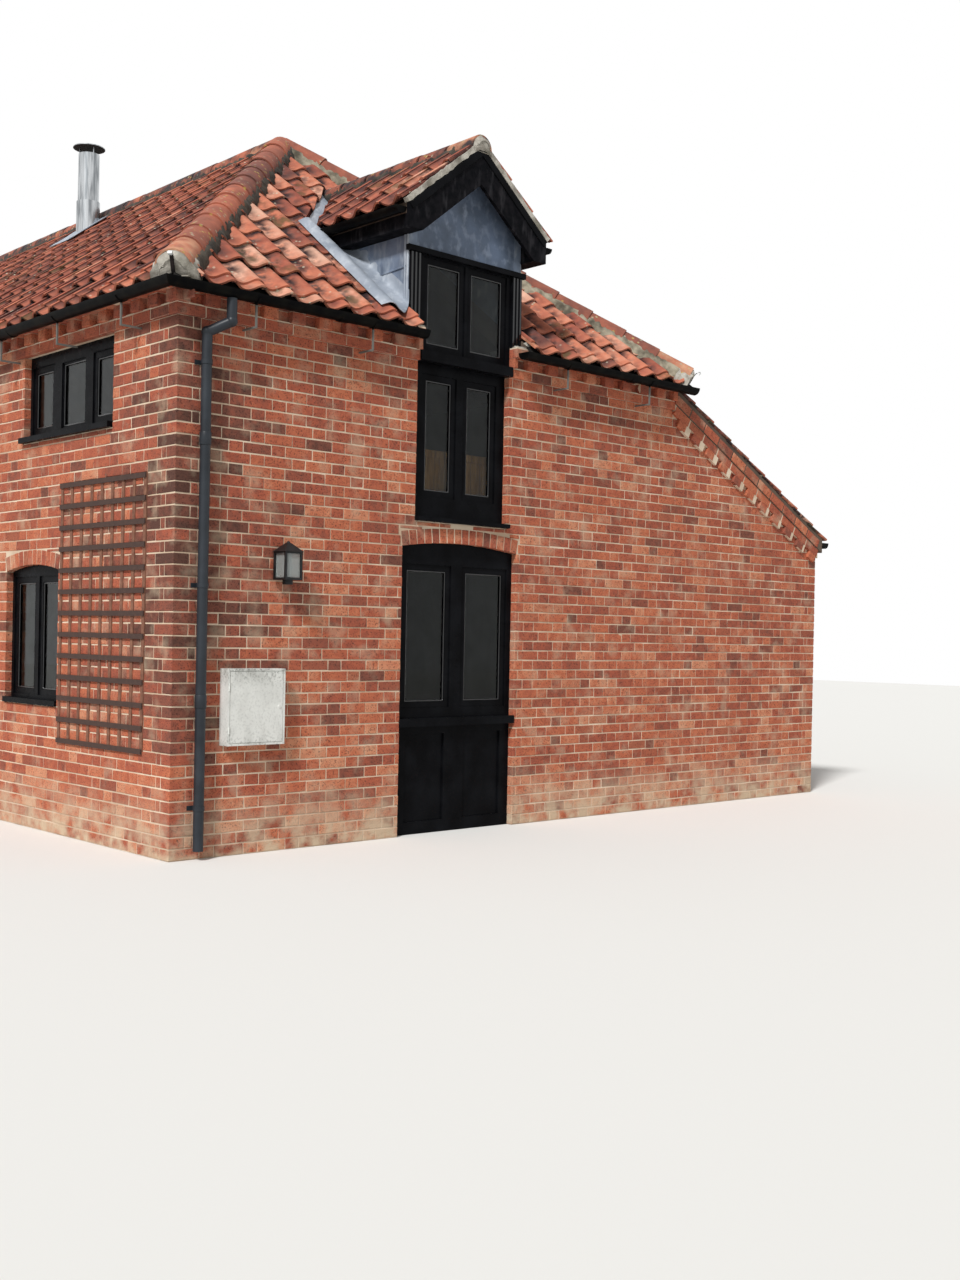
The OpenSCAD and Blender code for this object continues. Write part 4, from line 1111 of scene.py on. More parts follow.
@dataclass
class Brickwork:
    """All the bricks of the barn, wall by wall."""

    survey: Survey
    bond: Bond
    courses: int = 46
    lean_courses: int = 31
    casement_w: float = 1.36
    casement_z: float = 2.85
    casement_at: float = 3.9
    arched_at: float = 3.4
    lean_arched_at: float = 2.5
    right_stretchers: int = 22
    front_joint: tuple = (0.06, 0.05)
    lean_rear_w: float = 2.25
    long_quoin: float = 1.0105
    oversail: float = 0.028
    dentil: float = 0.056
    dentil_w: float = 0.108
    dentil_step: float = 0.225
    dentil_drop: float = 0.004
    top_depth: float = 0.02
    top_drop: float = 0.001
    rake: float = 0.085
    verge: float = 0.040
    eaves_quoin: float = 0.222
    quoin_drop: float = 0.0055
    quoin_half_y: float = 0.049
    behind: float = 0.012
    least: float = 0.02
    beyond: float = 9.0

    def arched(self, x: float) -> Opening:
        """An arched side window at a place along its wall."""
        return Opening(x, width=0.855, low=0.912, high=1.9, rise=0.045)

    def openings(self, side: Side) -> list[Opening]:
        """Openings of one side: the stacked ones in the front, casements over arched windows."""
        top, at, low = self.survey.wall_top, self.casement_at, self.arched_at
        if side is Side.FRONT:
            return [Opening(0, width=1.17, low=-1.0, high=2.128, rise=0.045),
                    Opening(0, width=0.94, low=2.318, high=top)]
        upper, lower = {Side.LEFT: ((at, -at), (low, -low)), Side.RIGHT: ((at,), (low,)),
                        Side.REAR: ((0,), (0,))}[side]
        casements = [Opening(x, self.casement_w, self.casement_z, top) for x in upper]
        return casements + [self.arched(x) for x in lower]

    @staticmethod
    def cut(bricks: list[Brick], openings: list[Opening]) -> list[Brick]:
        """Cut bricks to every opening in turn."""
        for opening in openings:
            bricks = [part for brick in bricks for part in opening.fit(brick)]
        return bricks

    def under_rake(self, bricks: list[Brick], away: float = 1.0) -> list[Brick]:
        """Trim bricks along the lean-to's rake, where X times away is the barn's own X."""
        s, kept = self.survey, []
        for brick in bricks:
            middle_z = (brick.low + brick.high) / 2
            limit = s.half_w + max(0.0, (s.lean_under(s.half_w) - self.rake - middle_z) / s.lean_slope)
            left, right = sorted((brick.left * away, brick.right * away))
            if right <= limit:
                kept.append(brick)
            elif left < limit - Opening.slack:
                ends = sorted((left * away, limit * away))
                kept.append(replace(brick, left=ends[0], right=ends[1]))
        return kept

    def front(self) -> None:
        """The front from the left corner to the lean-to's corner, around the stacked openings."""
        s, bond, bricks = self.survey, self.bond, []
        length = self.right_stretchers * bond.stretcher
        for i in range(self.courses):
            left = bond.row(-s.half_w, 2 * s.half_w, i, bool(i % 2))[1:]
            bricks += [b for b in left if b.right < self.front_joint[0]]
            right = bond.row(s.lean_x - length, length, i, bool(i % 2))[:-1]
            bricks += self.under_rake([b for b in right if b.left > self.front_joint[1]])
        bond.lay("front_bricks", self.cut(bricks, self.openings(Side.FRONT)), s.side(Side.FRONT))

    def long_wall(self, side: Side, name: str, start: float) -> None:
        """One of the other sides, from a start along it to its right end."""
        half, bricks = self.survey.half(side), []
        for i in range(self.courses):
            header_first = (side is not Side.REAR) != bool(i % 2)
            row = self.bond.row(start, half - start, i, header_first)[:-1]
            bricks += row if start > -half else row[1:]
        self.bond.lay(name, self.cut(bricks, self.openings(side)), self.survey.side(side))

    def lean_walls(self) -> None:
        """Side and rear wall of the lean-to."""
        s, bond, side, rear = self.survey, self.bond, [], []
        for i in range(int(s.lean_under(s.lean_x) / s.course)):
            side += bond.row(-s.half_l, s.lean_end + s.half_l, i, not i % 2)[1:-1]
        side = self.cut(side, [self.arched(self.lean_arched_at - s.half_l)])
        bond.lay("lean_side_bricks", side, Side.RIGHT.frame(s.lean_x))
        for i in range(self.courses):
            rear += self.under_rake(bond.row(-s.lean_x, self.lean_rear_w, i, bool(i % 2))[1:], -1.0)
        bond.lay("lean_rear_bricks", rear, Side.REAR.frame(s.lean_end))

    def quoins(self) -> None:
        """Whole bricks that turn the corners, long on one face by turns."""
        s, bond, spots = self.survey, self.bond, []
        gap, half_z = bond.perpend / 2, (s.course - bond.joint) / 2
        high, low = self.courses, self.lean_courses
        corners = [(-s.half_w, -s.half_l, 1, 1, high), (-s.half_w, s.half_l, 1, -1, high),
                   (s.half_w, s.half_l, -1, -1, high), (s.lean_x, -s.half_l, -1, 1, low),
                   (s.lean_x, s.lean_end, -1, -1, low)]
        for x, y, sx, sy, count in corners:
            for i in range(count):
                long, short = (bond.stretcher, bond.header) if i % 2 == 0 else (
                    bond.header, bond.stretcher * self.long_quoin)
                half = ((long - gap + bond.proud) / 2, (short - gap + bond.proud) / 2, half_z)
                middle = (x + sx * (half[0] - bond.proud), y + sy * (half[1] - bond.proud),
                          (i + 0.5) * s.course)
                spots.append((Matrix.Translation(middle), half))
        half = (self.eaves_quoin / 2 - gap, self.quoin_half_y, half_z)
        for x, y, sx, sy, _ in corners[:3]:
            for level, out in ((0, self.oversail), (2, s.top_out)):
                middle = (x + sx * (half[0] - out - bond.proud), y + sy * (half[1] - out - bond.proud),
                          s.wall_top + (level + 0.5) * s.course - self.quoin_drop)
                spots.append((Matrix.Translation(middle), half))
        show(bond.turned("corner_bricks", spots, Matrix.Identity(4)), BRICK)

    def arch(self, opening: Opening, depth: float = 0.05) -> Spots:
        """Frames of the bricks on edge in one segmental ring."""
        middle = opening.radius + opening.ring / 2
        count = round(2 * opening.half_angle * middle / self.survey.course)
        step, proud = 2 * opening.half_angle / count, self.bond.proud
        half = (middle * step / 2 - 0.004, (depth + proud) / 2, opening.ring / 2)
        spots = []
        for i in range(count):
            angle = -opening.half_angle + (i + 0.5) * step
            centre = (opening.centre + middle * math.sin(angle), 0, opening.axis_z + middle * math.cos(angle))
            spots.append((Matrix.Translation(centre) @ Matrix.Rotation(angle, 4, "Y")
                          @ Matrix.Translation((0, (depth - proud) / 2, -0.002)), half))
        return spots

    def arches(self) -> None:
        """Rings of bricks on edge over the arched openings."""
        s = self.survey
        rings = [(s.side(side), opening) for side in Side for opening in self.openings(side) if opening.rise]
        rings.append((Side.RIGHT.frame(s.lean_x), self.arched(self.lean_arched_at - s.half_l)))
        pieces = [self.bond.turned("ring", self.arch(opening), place) for place, opening in rings]
        show(joined("arch_bricks", pieces), BRICK)

    def eaves(self, side: Side, name: str, start: float, end: float) -> None:
        """Corbelled courses and dentils of one side, between two places along it."""
        s, bond, bricks = self.survey, self.bond, []
        half, gap, low = s.half(side), bond.perpend / 2, s.wall_top
        for level, out in ((0, self.oversail), (2, s.top_out)):
            own = out + bond.proud - self.eaves_quoin if side in (Side.FRONT, Side.REAR) else out - 0.1
            first = start if start >= -half else -half - own
            last = end if end <= half else half + own
            shift = 0.5 if level else 0.0
            count = round((last - first) / bond.stretcher + shift)
            width = (last - first) / (count - shift)
            bed = low + level * s.course - self.top_drop
            for i in range(count):
                left = first + max(i - shift, 0.0) * width + (gap if i else 0.0)
                right = first + (i + 1 - shift) * width - (gap if i < count - 1 else 0.0)
                bricks.append(Brick(left, right, bed, bed + s.course - bond.joint, self.top_depth, out))
        last = half + self.dentil - self.dentil_w / 2
        count = round(2 * last / self.dentil_step)
        low, high = low + s.course, low + 2 * s.course
        for i in range(count + 1):
            x = -last + i * 2 * last / count
            left, right = x - self.dentil_w / 2 - 0.0015, x + self.dentil_w / 2 + 0.0015
            if right > start + bond.perpend and left < end - bond.perpend:
                bricks.append(Brick(max(left, start), min(right, end), low - self.dentil_drop,
                                    high - self.dentil_drop, 0.0, self.dentil))
            gap_end = min(right + self.dentil_step - self.dentil_w, end)
            bricks.append(Brick(max(right - self.least, start), gap_end, low, high - bond.joint / 2))
        bond.lay(name, [b for b in bricks if b.right - b.left > self.least], s.side(side))

    def sloped(self, low: float, height: float, out: float, width: float, step: float) -> Spots:
        """Frames of bricks that lie along the lean-to's slope, in the front's frame.

        Args:
            low: Their underside above the underside of the roof, straight up.
            height: Their height, square to the slope.
            out: How far they stand proud of the wall.
            width: Length of each along the slope.
            step: From one to the next along the slope.

        Returns:
            The bricks' frames and half sizes.
        """
        s, back, spots = self.survey, self.behind, []
        tilt = math.atan(s.lean_slope)
        count = round((s.lean_x - s.half_w) / math.cos(tilt) / step)
        for i in range(count):
            x = s.half_w + (i + 0.5) * (s.lean_x - s.half_w) / count
            middle = (x, (back - out) / 2, s.lean_under(x) + low + height / 2 / math.cos(tilt))
            spots.append((Matrix.Translation(middle) @ Matrix.Rotation(tilt, 4, "Y"),
                          (width / 2, (out + back) / 2, height / 2)))
        return spots

    def raking(self) -> None:
        """Bricks along the lean-to's verges, its raking course, and the dentils that hang under it."""
        s, bond = self.survey, self.bond
        drop = s.course * math.hypot(1, s.lean_slope)
        out = self.oversail + bond.proud
        whole = bond.stretcher - bond.joint
        spots = self.sloped(-drop, 0.075, out, whole, bond.stretcher)
        spots += self.sloped(-2 * drop + 0.004, 0.076, out, self.dentil_w, self.dentil_step)
        verge = self.sloped(0.003, 0.082, self.verge + bond.proud, whole, bond.stretcher)
        show(bond.turned("raking_bricks", spots + verge, s.side(Side.FRONT)), BRICK)
        back = bond.turned("rear_verge_bricks", verge, s.side(Side.FRONT))
        flip = Matrix.Translation((0, s.lean_end - s.half_l, 0)) @ Matrix.Scale(-1, 4, (0, 1, 0))
        show(move_mesh(back, flip), BRICK)

    def build(self) -> None:
        """Lay every wall."""
        s, beyond = self.survey, self.beyond
        self.front()
        self.long_wall(Side.LEFT, "left_bricks", -s.half_l)
        self.long_wall(Side.REAR, "rear_bricks", -s.half_w)
        self.long_wall(Side.RIGHT, "right_bricks", s.lean_end)
        self.lean_walls()
        self.quoins()
        self.arches()
        self.eaves(Side.FRONT, "front_left_eaves_bricks", -beyond, 0.0025 - s.loft_half)
        self.eaves(Side.FRONT, "front_right_eaves_bricks", s.loft_half - 0.0025, s.half_w)
        self.eaves(Side.LEFT, "left_eaves_bricks", -beyond, beyond)
        self.eaves(Side.REAR, "rear_eaves_bricks", -beyond, beyond)
        self.eaves(Side.RIGHT, "right_eaves_bricks", s.lean_end + 0.04, beyond)
        self.raking()


# Roofs

@dataclass
class Pantile:
    """One pantile: a shallow pan with a roll on its right, as seen from below the eaves."""

    cover: float = 0.232
    gauge: float = 0.298
    length: float = 0.362
    rise: float = 0.052
    thick: float = 0.014
    lift: float = 0.023
    lap: float = 0.022
    edge: float = -0.004
    steps: int = 13
    # Unevenness of a row, and of a tile along it, up it, off it and in its turn
    sway: float = 0.003
    loose: tuple = (0.0025, 0.009, 0.0015, 0.009)
    bed: float = 0.006

    def height(self, x: float) -> float:
        """Height of the tile's top face across its width."""
        crest = 0.5 + 0.5 * math.cos(2 * math.pi * x / self.cover)
        under = max(0.0, 1 - max(x, 0) / (0.13 * self.cover))
        return self.rise * crest ** 1.25 - under * (self.thick + 0.004)

    def stamp(self) -> Stamp:
        """Model the tile: trace its section by extruding one edge, then thicken the sheet."""
        width = self.cover + self.lap - self.edge
        across = [self.edge + width * i / self.steps for i in range(self.steps + 1)]
        model = trace("pantile", [(x, 0, self.height(x)) for x in across], (0, self.length, 0))
        if model.data.polygons[0].normal.z < 0:
            model.data.flip_normals()
        thicken(model, self.thick)
        stamp = Stamp(model)
        x, y, _ = stamp.points.T
        hollow = 0.5 - 0.5 * np.cos(2 * np.pi * x / self.cover)
        stamp.lie = np.stack([hollow, y / self.length, x / self.cover], axis=1)
        return stamp


@dataclass
class Slope:
    """One tiled slope in its own frame: X along the eaves, Y inwards, Z up."""

    name: str
    matrix: Matrix
    rise: float
    edge_z: float
    first: float
    second: float
    top: float
    left: float
    right: float
    crest: float
    firing: float = 0.55
    sunk: tuple = (0.0, 0.0)

    def tiles(self, tile: Pantile, rng: np.random.Generator) -> tuple[np.ndarray, np.ndarray]:
        """Places of the slope's tiles, each along, up, off and its turn, and their tones."""
        cos = math.cos(math.atan(self.rise))
        rows = [self.first / cos, self.second / cos]
        while rows[-1] + tile.gauge < self.top / cos:
            rows.append(rows[-1] + tile.gauge)
        columns = range(math.floor((self.left - self.crest) / tile.cover) - 1,
                        math.ceil((self.right - self.crest) / tile.cover) + 1)
        aside, ahead, lift, turn = tile.loose
        spots = []
        for k, up in enumerate(rows):
            sway = rng.normal(0, tile.sway)
            off = tile.bed - (self.sunk[k] if k < len(self.sunk) else 0.0)
            for j in columns:
                x = self.crest + j * tile.cover + rng.normal(0, aside) + sway
                spots.append((x, up + rng.uniform(-ahead, ahead), off + rng.normal(0, lift),
                              rng.normal(0, turn)))
        tones = rng.random((len(spots), 3))
        tones[:, 0] = (self.firing + 0.20 * rng.normal(size=len(spots))).clip(0.03, 0.97)
        return np.array(spots), tones


def at_x(x: float, way: float) -> tuple:
    """A plane across X at a place, which keeps what lies on one side of it."""
    return (x, 0, 0), (way, 0, 0)


def at_y(y: float, way: float) -> tuple:
    """A plane across Y at a place, which keeps what lies on one side of it."""
    return (0, y, 0), (0, way, 0)


def way_frame(start: Vector, end: Vector) -> Matrix:
    """A frame at the start of a run, with Y along it and X level."""
    way = (end - start).normalized()
    across = way.cross(Vector((0, 0, 1))).normalized()
    return Matrix.Translation(start) @ Matrix((across, way, across.cross(way))).transposed().to_4x4()


@dataclass
class Roofing:
    """Pantiles of all the slopes, with the hips, ridges and valleys."""

    survey: Survey
    tile: Pantile = field(default_factory=Pantile)
    hip_r: float = 0.125
    hip_gauge: float = 0.35
    dormer_r: float = 0.1
    apron_cut: float = 0.80
    apron_back: float = 0.92
    verge_out: float = 0.052
    beyond: float = 0.2
    dormer_out: float = 0.140
    felt: tuple = ((-0.060, 0.004), (-0.087, 0.003), (-0.146, -0.017))
    bed: tuple = ((1.20, -0.75), (1.14, -0.16), (1.02, 0.10), (0.88, 0.30))
    strap: tuple = ((-0.034, -0.045), (-0.037, 0.0), (-0.037, 0.07), (-0.041, 0.098))
    curl: tuple = ((-0.041, 0.098), (-0.050, 0.118), (-0.064, 0.124), (-0.076, 0.112), (-0.070, 0.098))

    def __post_init__(self) -> None:
        """Model the tile once, and start the random numbers."""
        self.stamp = self.tile.stamp()
        self.rng = np.random.default_rng(11)

    def lay(self, slope: Slope, fields: list[list[tuple]]) -> Piece:
        """Lay one slope and cut it to its edges.

        Args:
            slope: The slope.
            fields: Convex fields of it, each a list of planes: a point, the normal to keep, and
                how far a tile has to reach past the plane to be laid at all.

        Returns:
            The tiled slope.
        """
        spots, tones = slope.tiles(self.tile, self.rng)
        tilt = Matrix.Rotation(math.atan(slope.rise), 4, "X")
        base = np.array(Matrix.Translation((0, 0, slope.edge_z)) @ tilt)
        x, y, z = self.stamp.points.T
        lift = self.tile.lift * (1 - y / self.tile.length)
        along, up, off, turn = spots.T[:, :, None]
        points = np.stack([x - turn * y + along, y + turn * x + up, z + lift + off], axis=2)
        flat = np.einsum("ij,nkj->nki", base[:3, :3], points) + base[:3, 3]
        pieces = []
        for number, cuts in enumerate(fields):
            inside = np.ones(len(spots), bool)
            for point, normal, *least in cuts:
                reach = ((flat - np.array(point)) @ np.array(normal)).max(axis=1)
                inside &= reach > (least[0] if least else 0.004)
            piece = self.stamp.press(f"{slope.name}_{number}", flat[inside], tones[inside])
            for point, normal, *_ in cuts:
                halve(piece, point, normal)
            pieces.append(piece)
        return move_mesh(joined(slope.name, pieces), slope.matrix)

    def hips(self, half: float) -> list[tuple]:
        """Planes of the hips at both ends of a side and across their feet, in its own frame."""
        foot = self.survey.top_out - 0.028
        return [((half - 0.01, 0, 0), (-1, -1, 0), 0.16), ((-half + 0.01, 0, 0), (1, -1, 0), 0.16),
                ((half + foot, -foot, 0), (-1, 1, 0), 0.12), ((-half - foot, -foot, 0), (1, 1, 0), 0.12)]

    def main_slope(self, side: Side, name: str, crest: float,
                   fields: list[list[tuple]] | None = None) -> None:
        """Tile one slope of the main roof, whole or in the fields around the dormer."""
        s = self.survey
        half = s.half(side)
        # The left slope's tiles are fired darker and more mauve: partly the clay's tone, partly painted shade
        slope = Slope(name, s.side(side), s.slope, s.roof_edge, first=-0.152, second=-0.090, top=s.half_w,
                      left=-half - self.beyond, right=half + self.beyond, crest=crest,
                      firing=0.27 if side is Side.LEFT else 0.55, sunk=(0.022, 0.012))
        hips = self.hips(half) + [at_y(s.half_w - 0.03, -1)]
        show(self.lay(slope, [hips + cuts for cuts in fields or [[]]]), TILE, angle=40)

    def around_dormer(self) -> list[list[tuple]]:
        """Fields of the front slope beside and behind the dormer, in the front's frame."""
        s, outer, fields = self.survey, self.apron_cut, []
        inner = s.dormer_half + 0.004
        back = s.valley_back + 0.060 * math.hypot(1, s.valley_run)
        for sign, hidden, foot in ((-1, inner + 0.062, 0.07), (1, inner + 0.086, 0.30)):
            within = at_x(sign * outer, -sign)
            fields += [[at_x(sign * outer, sign)],
                       [within, at_x(sign * inner, sign), at_y(foot, -1)],
                       [within, at_x(sign * hidden, sign), at_y(foot, 1), at_y(self.apron_back, -1)],
                       [within, at_x(0, sign), ((0, back, 0), (sign * s.valley_run, 1, 0))]]
        return fields

    def lean_slope(self) -> None:
        """Tile the lean-to, from under the main eaves down to its gutter."""
        s = self.survey
        run = s.lean_eaves - s.half_w
        top = run - 0.09
        slope = Slope("lean_to_tiles", Side.RIGHT.frame(s.lean_eaves), s.lean_slope,
                      s.lean_top - run * s.lean_slope, first=-0.055, second=0.20, top=top,
                      left=-s.half_l - self.beyond, right=s.lean_end + self.beyond, crest=-5.30)
        edges = [at_x(-s.half_l - self.verge_out, 1), at_x(s.lean_end + self.verge_out, -1), at_y(top, -1)]
        show(self.lay(slope, [edges]), TILE, angle=40)

    def dormer_slopes(self) -> None:
        """Tile both slopes of the dormer, from the barge boards back to the valleys."""
        s, pieces = self.survey, []
        front = s.half_l + self.dormer_out
        back = s.half_l - s.valley_back + 0.030 * math.hypot(1, s.valley_run)
        for side, sign, left, right, crest in ((Side.LEFT, 1, 3.0, front + 0.1, front - 0.03),
                                               (Side.RIGHT, -1, -front - 0.1, -3.0, -front + 0.02)):
            slope = Slope(f"dormer_{side.name.lower()}", side.frame(s.barge_half), s.dormer_slope,
                          s.dormer_edge, first=-0.035, second=0.19, top=s.barge_half - 0.01, left=left,
                          right=right, crest=crest, firing=0.26)
            edges = [at_x(sign * front, -sign), ((sign * back, s.barge_half, 0), (sign, s.valley_run, 0)),
                     at_y(s.barge_half - 0.012, -1)]
            pieces.append(self.lay(slope, [edges]))
        show(joined("dormer_tiles", pieces), TILE, angle=40)

    @staticmethod
    def half_round(big: float, small: float, length: float) -> Stamp:
        """Model a half-round tile, from its big end at Y 0 to its small end."""
        model = cylinder("half_round", big, length, (0, length / 2, 0), (math.pi / 2, 0, 0), ends="NOTHING")
        halve(model, (0, 0, -0.03), (0, 0, 1), fill=False)
        with editing(model):
            pick(model, "VERT", lambda at, _: at.y > length / 2)
            ratio = small / big
            bpy.ops.transform.resize(value=(ratio, 1, ratio), center_override=(0, length, 0))
        thicken(model, 0.012)
        return Stamp(model)

    def run(self, stamp: Stamp, name: str, start: Vector, end: Vector, gauge: float, damp: float) -> Piece:
        """Lay half-round tiles from a low end to a high end.

        Args:
            stamp: The tile.
            name: Name of the piece.
            start: Lower end of the run, on its axis.
            end: Upper end.
            gauge: Distance from tile to tile.
            damp: How mossy they are, from 0 to 1.

        Returns:
            The joined tiles.
        """
        run, level = end - start, way_frame(start, end).to_3x3()
        count = round(run.length / gauge)
        points = []
        for i in range(count):
            yaw = Matrix.Rotation(self.rng.normal(0, 0.007), 3, "Z")
            turn = level @ yaw @ Matrix.Rotation(self.rng.normal(0, 0.015), 3, "Y")
            centre = np.array(start + run * (i / count)) + self.rng.normal(0, 0.0015, 3)
            points.append(stamp.points @ np.array(turn).T + centre)
        tones = self.rng.random((count, 3))
        tones[:, 0] = tones[:, 0] * 0.5 + 0.35
        tones[0, 0] = 0.90
        tones[:, 2] = damp
        return stamp.press(name, np.array(points), tones)

    def bedding(self, name: str, start: Vector, end: Vector, radius: float) -> Piece:
        """Lumpy mortar that fills the space under a run of half-round tiles and shows beside it."""
        length = (end - start).length
        section = [(-x * radius, 0, z * radius) for x, z in self.bed]
        section += [(x * radius, 0, z * radius) for x, z in self.bed[::-1]]
        piece = bar(name, section, (0, length, 0), max(2, int(length / 0.03)))
        move_mesh(piece, way_frame(start, end))
        roughen(piece, 0.045, 0.04)
        return piece

    def foot(self, name: str, start: Vector, end: Vector, radius: float) -> Piece:
        """Mortar that fills the open end of a run's half-round tile, trowelled to a low dome."""
        piece = cylinder(name, radius * 0.90, 0.07, (0, 0.028, 0), (math.pi / 2, 0, 0))
        halve(piece, (0, 0, 0), (0, 0, 1))
        with editing(piece):
            pick(piece, "FACE", lambda middle, normal: normal.z < -0.9)
            bpy.ops.mesh.extrude_region_move(TRANSFORM_OT_translate={"value": (0, 0, -0.5 * radius)})
            bpy.ops.transform.resize(value=(1.04, 1, 1), center_override=(0, 0, 0))
            for _ in range(3):
                pick(piece, "FACE", lambda middle, normal: normal.y < -0.9)
                bpy.ops.mesh.inset(thickness=radius * 0.2)
                bpy.ops.transform.translate(value=(0, -0.008, 0))
        move_mesh(piece, way_frame(start, end))
        roughen(piece, 0.02, 0.03)
        return piece

    @staticmethod
    def hip_iron(name: str, start: Vector, end: Vector, path: tuple) -> Piece:
        """Part of the strap at the foot of a hip, which curls at its top to hold the last tile."""
        piece = trace(name, [(-0.0125, y, z) for y, z in path], (0.025, 0, 0))
        thicken(piece, 0.005)
        return move_mesh(piece, way_frame(start, end))

    def eaves_felt(self) -> None:
        """Felt that laps from under the first tiles into the gutters."""
        s, pieces = self.survey, []
        for side in Side:
            half = s.half(side)
            start = s.lean_end + 0.05 if side is Side.RIGHT else -half - self.beyond
            sheet = trace(f"felt_{side.name}", [(start, y, s.roof_z(y) + lift) for y, lift in self.felt],
                          (half + self.beyond - start, 0, 0))
            thicken(sheet, 0.002)
            for point, normal, _ in self.hips(half)[:2]:
                halve(sheet, point, normal)
            if side is Side.FRONT:
                right = twin(sheet, "felt_front_right", Matrix.Identity(4))
                halve(sheet, *at_x(-s.loft_half - 0.10, -1))
                halve(right, *at_x(s.loft_half + 0.10, 1))
                pieces.append(move_mesh(right, s.side(side)))
            pieces.append(move_mesh(sheet, s.side(side)))
        show(joined("eaves_felt", pieces), FELT)

    def hip_pair(self, sy: int, tile: Stamp) -> None:
        """Both hips of one end, with their mortar, their feet and their irons."""
        s, prefix = self.survey, ("front" if sy < 0 else "rear") + "_hip_"
        reach, end_y = s.half_w + s.top_out, s.half_l - s.half_w
        tiles, beds, feet, irons, tips = [], [], [], [], []
        for sx in (-1, 1):
            high = Vector((0, sy * end_y, s.apex + 0.010))
            low = Vector((sx * reach, sy * (end_y + reach), s.apex + 0.010 - reach * s.slope))
            way = (high - low).normalized()
            top = high - way * 0.06
            tiles.append(self.run(tile, f"hip_{sx}", low, top, self.hip_gauge, damp=0.35))
            bed_start = low - (high - low) * 0.003
            beds.append(self.bedding(f"{prefix}tiles_bed_{len(beds)}", bed_start, top, self.hip_r))
            feet += [self.foot(f"hip_foot_{sx}", low, high, self.hip_r),
                     self.bedding(f"hip_heap_{sx}", low - way * 0.020, low + way * 0.11, self.hip_r * 1.03)]
            irons.append(self.hip_iron(f"hip_iron_{sx}", low, high, self.strap))
            tips.append(self.hip_iron(f"hip_iron_tip_{sx}", low, high, self.curl))
        show(joined(prefix + "run", tiles), RIDGE, prefix + "tiles", angle=40)
        # The hips' mortar beds are dark with moss and painted shade
        show(beds[0], MOSS_AND_SHADE_MORTAR, angle=60)
        show(beds[1], LICHENED if sy < 0 else MOSS_AND_SHADE_MORTAR, angle=60)
        show(joined(prefix + "feet", feet), BEDDING, angle=60)
        show(joined(prefix + "irons", irons), IRON)
        show(joined(prefix + "iron_tips", tips), ZINC)

    def ridges(self, straight: Stamp, small: Stamp) -> None:
        """The main ridge and the dormer's, in their mortar."""
        s, r, back = self.survey, self.dormer_r, Vector((0, 0.01, 0))
        end = Vector((0, s.half_l - s.half_w + 0.02, 0))
        up = Vector((0, 0, s.apex + 0.05 - self.hip_r / 2))
        run = self.run(straight, "ridge_run", up - end, up + end, gauge=0.325, damp=1.0)
        show(run, RIDGE, "ridge_tiles", angle=40)
        show(self.bedding("ridge_mortar", up - end, up + end, self.hip_r), MOSS_AND_SHADE_MORTAR, angle=60)
        crown_z = s.dormer_apex + 0.05 - self.hip_r / 2
        low = Vector((0, -s.half_l - self.dormer_out - 0.006, crown_z))
        high = Vector((0, -s.half_l + s.valley_back + 0.10, crown_z))
        run = self.run(small, "dormer_ridge_run", low, high, gauge=0.305, damp=1.0)
        show(run, RIDGE, "dormer_ridge", angle=40)
        show(self.bedding("dormer_ridge_mortar", low + back * 0.6, high, r), MOSS_AND_SHADE_MORTAR, angle=60)
        show(self.foot("dormer_ridge_foot", low + back, high, r), BEDDING, angle=60)

    def build(self) -> None:
        """Tile everything."""
        self.main_slope(Side.FRONT, "front_tiles", -1.954, self.around_dormer())
        self.main_slope(Side.LEFT, "left_tiles", 0.06)
        self.main_slope(Side.REAR, "rear_tiles", 0.03)
        self.main_slope(Side.RIGHT, "right_tiles", 0.11)
        self.lean_slope()
        self.dormer_slopes()
        tapered = self.half_round(big=self.hip_r - 0.001, small=0.110, length=0.40)
        straight = self.half_round(big=self.hip_r, small=self.hip_r - 0.002, length=0.318)
        small = self.half_round(big=self.dormer_r, small=self.dormer_r - 0.002, length=0.30)
        self.hip_pair(-1, tapered)
        self.hip_pair(1, tapered)
        self.ridges(straight, small)
        self.eaves_felt()


# Leadwork and the dormer's trim

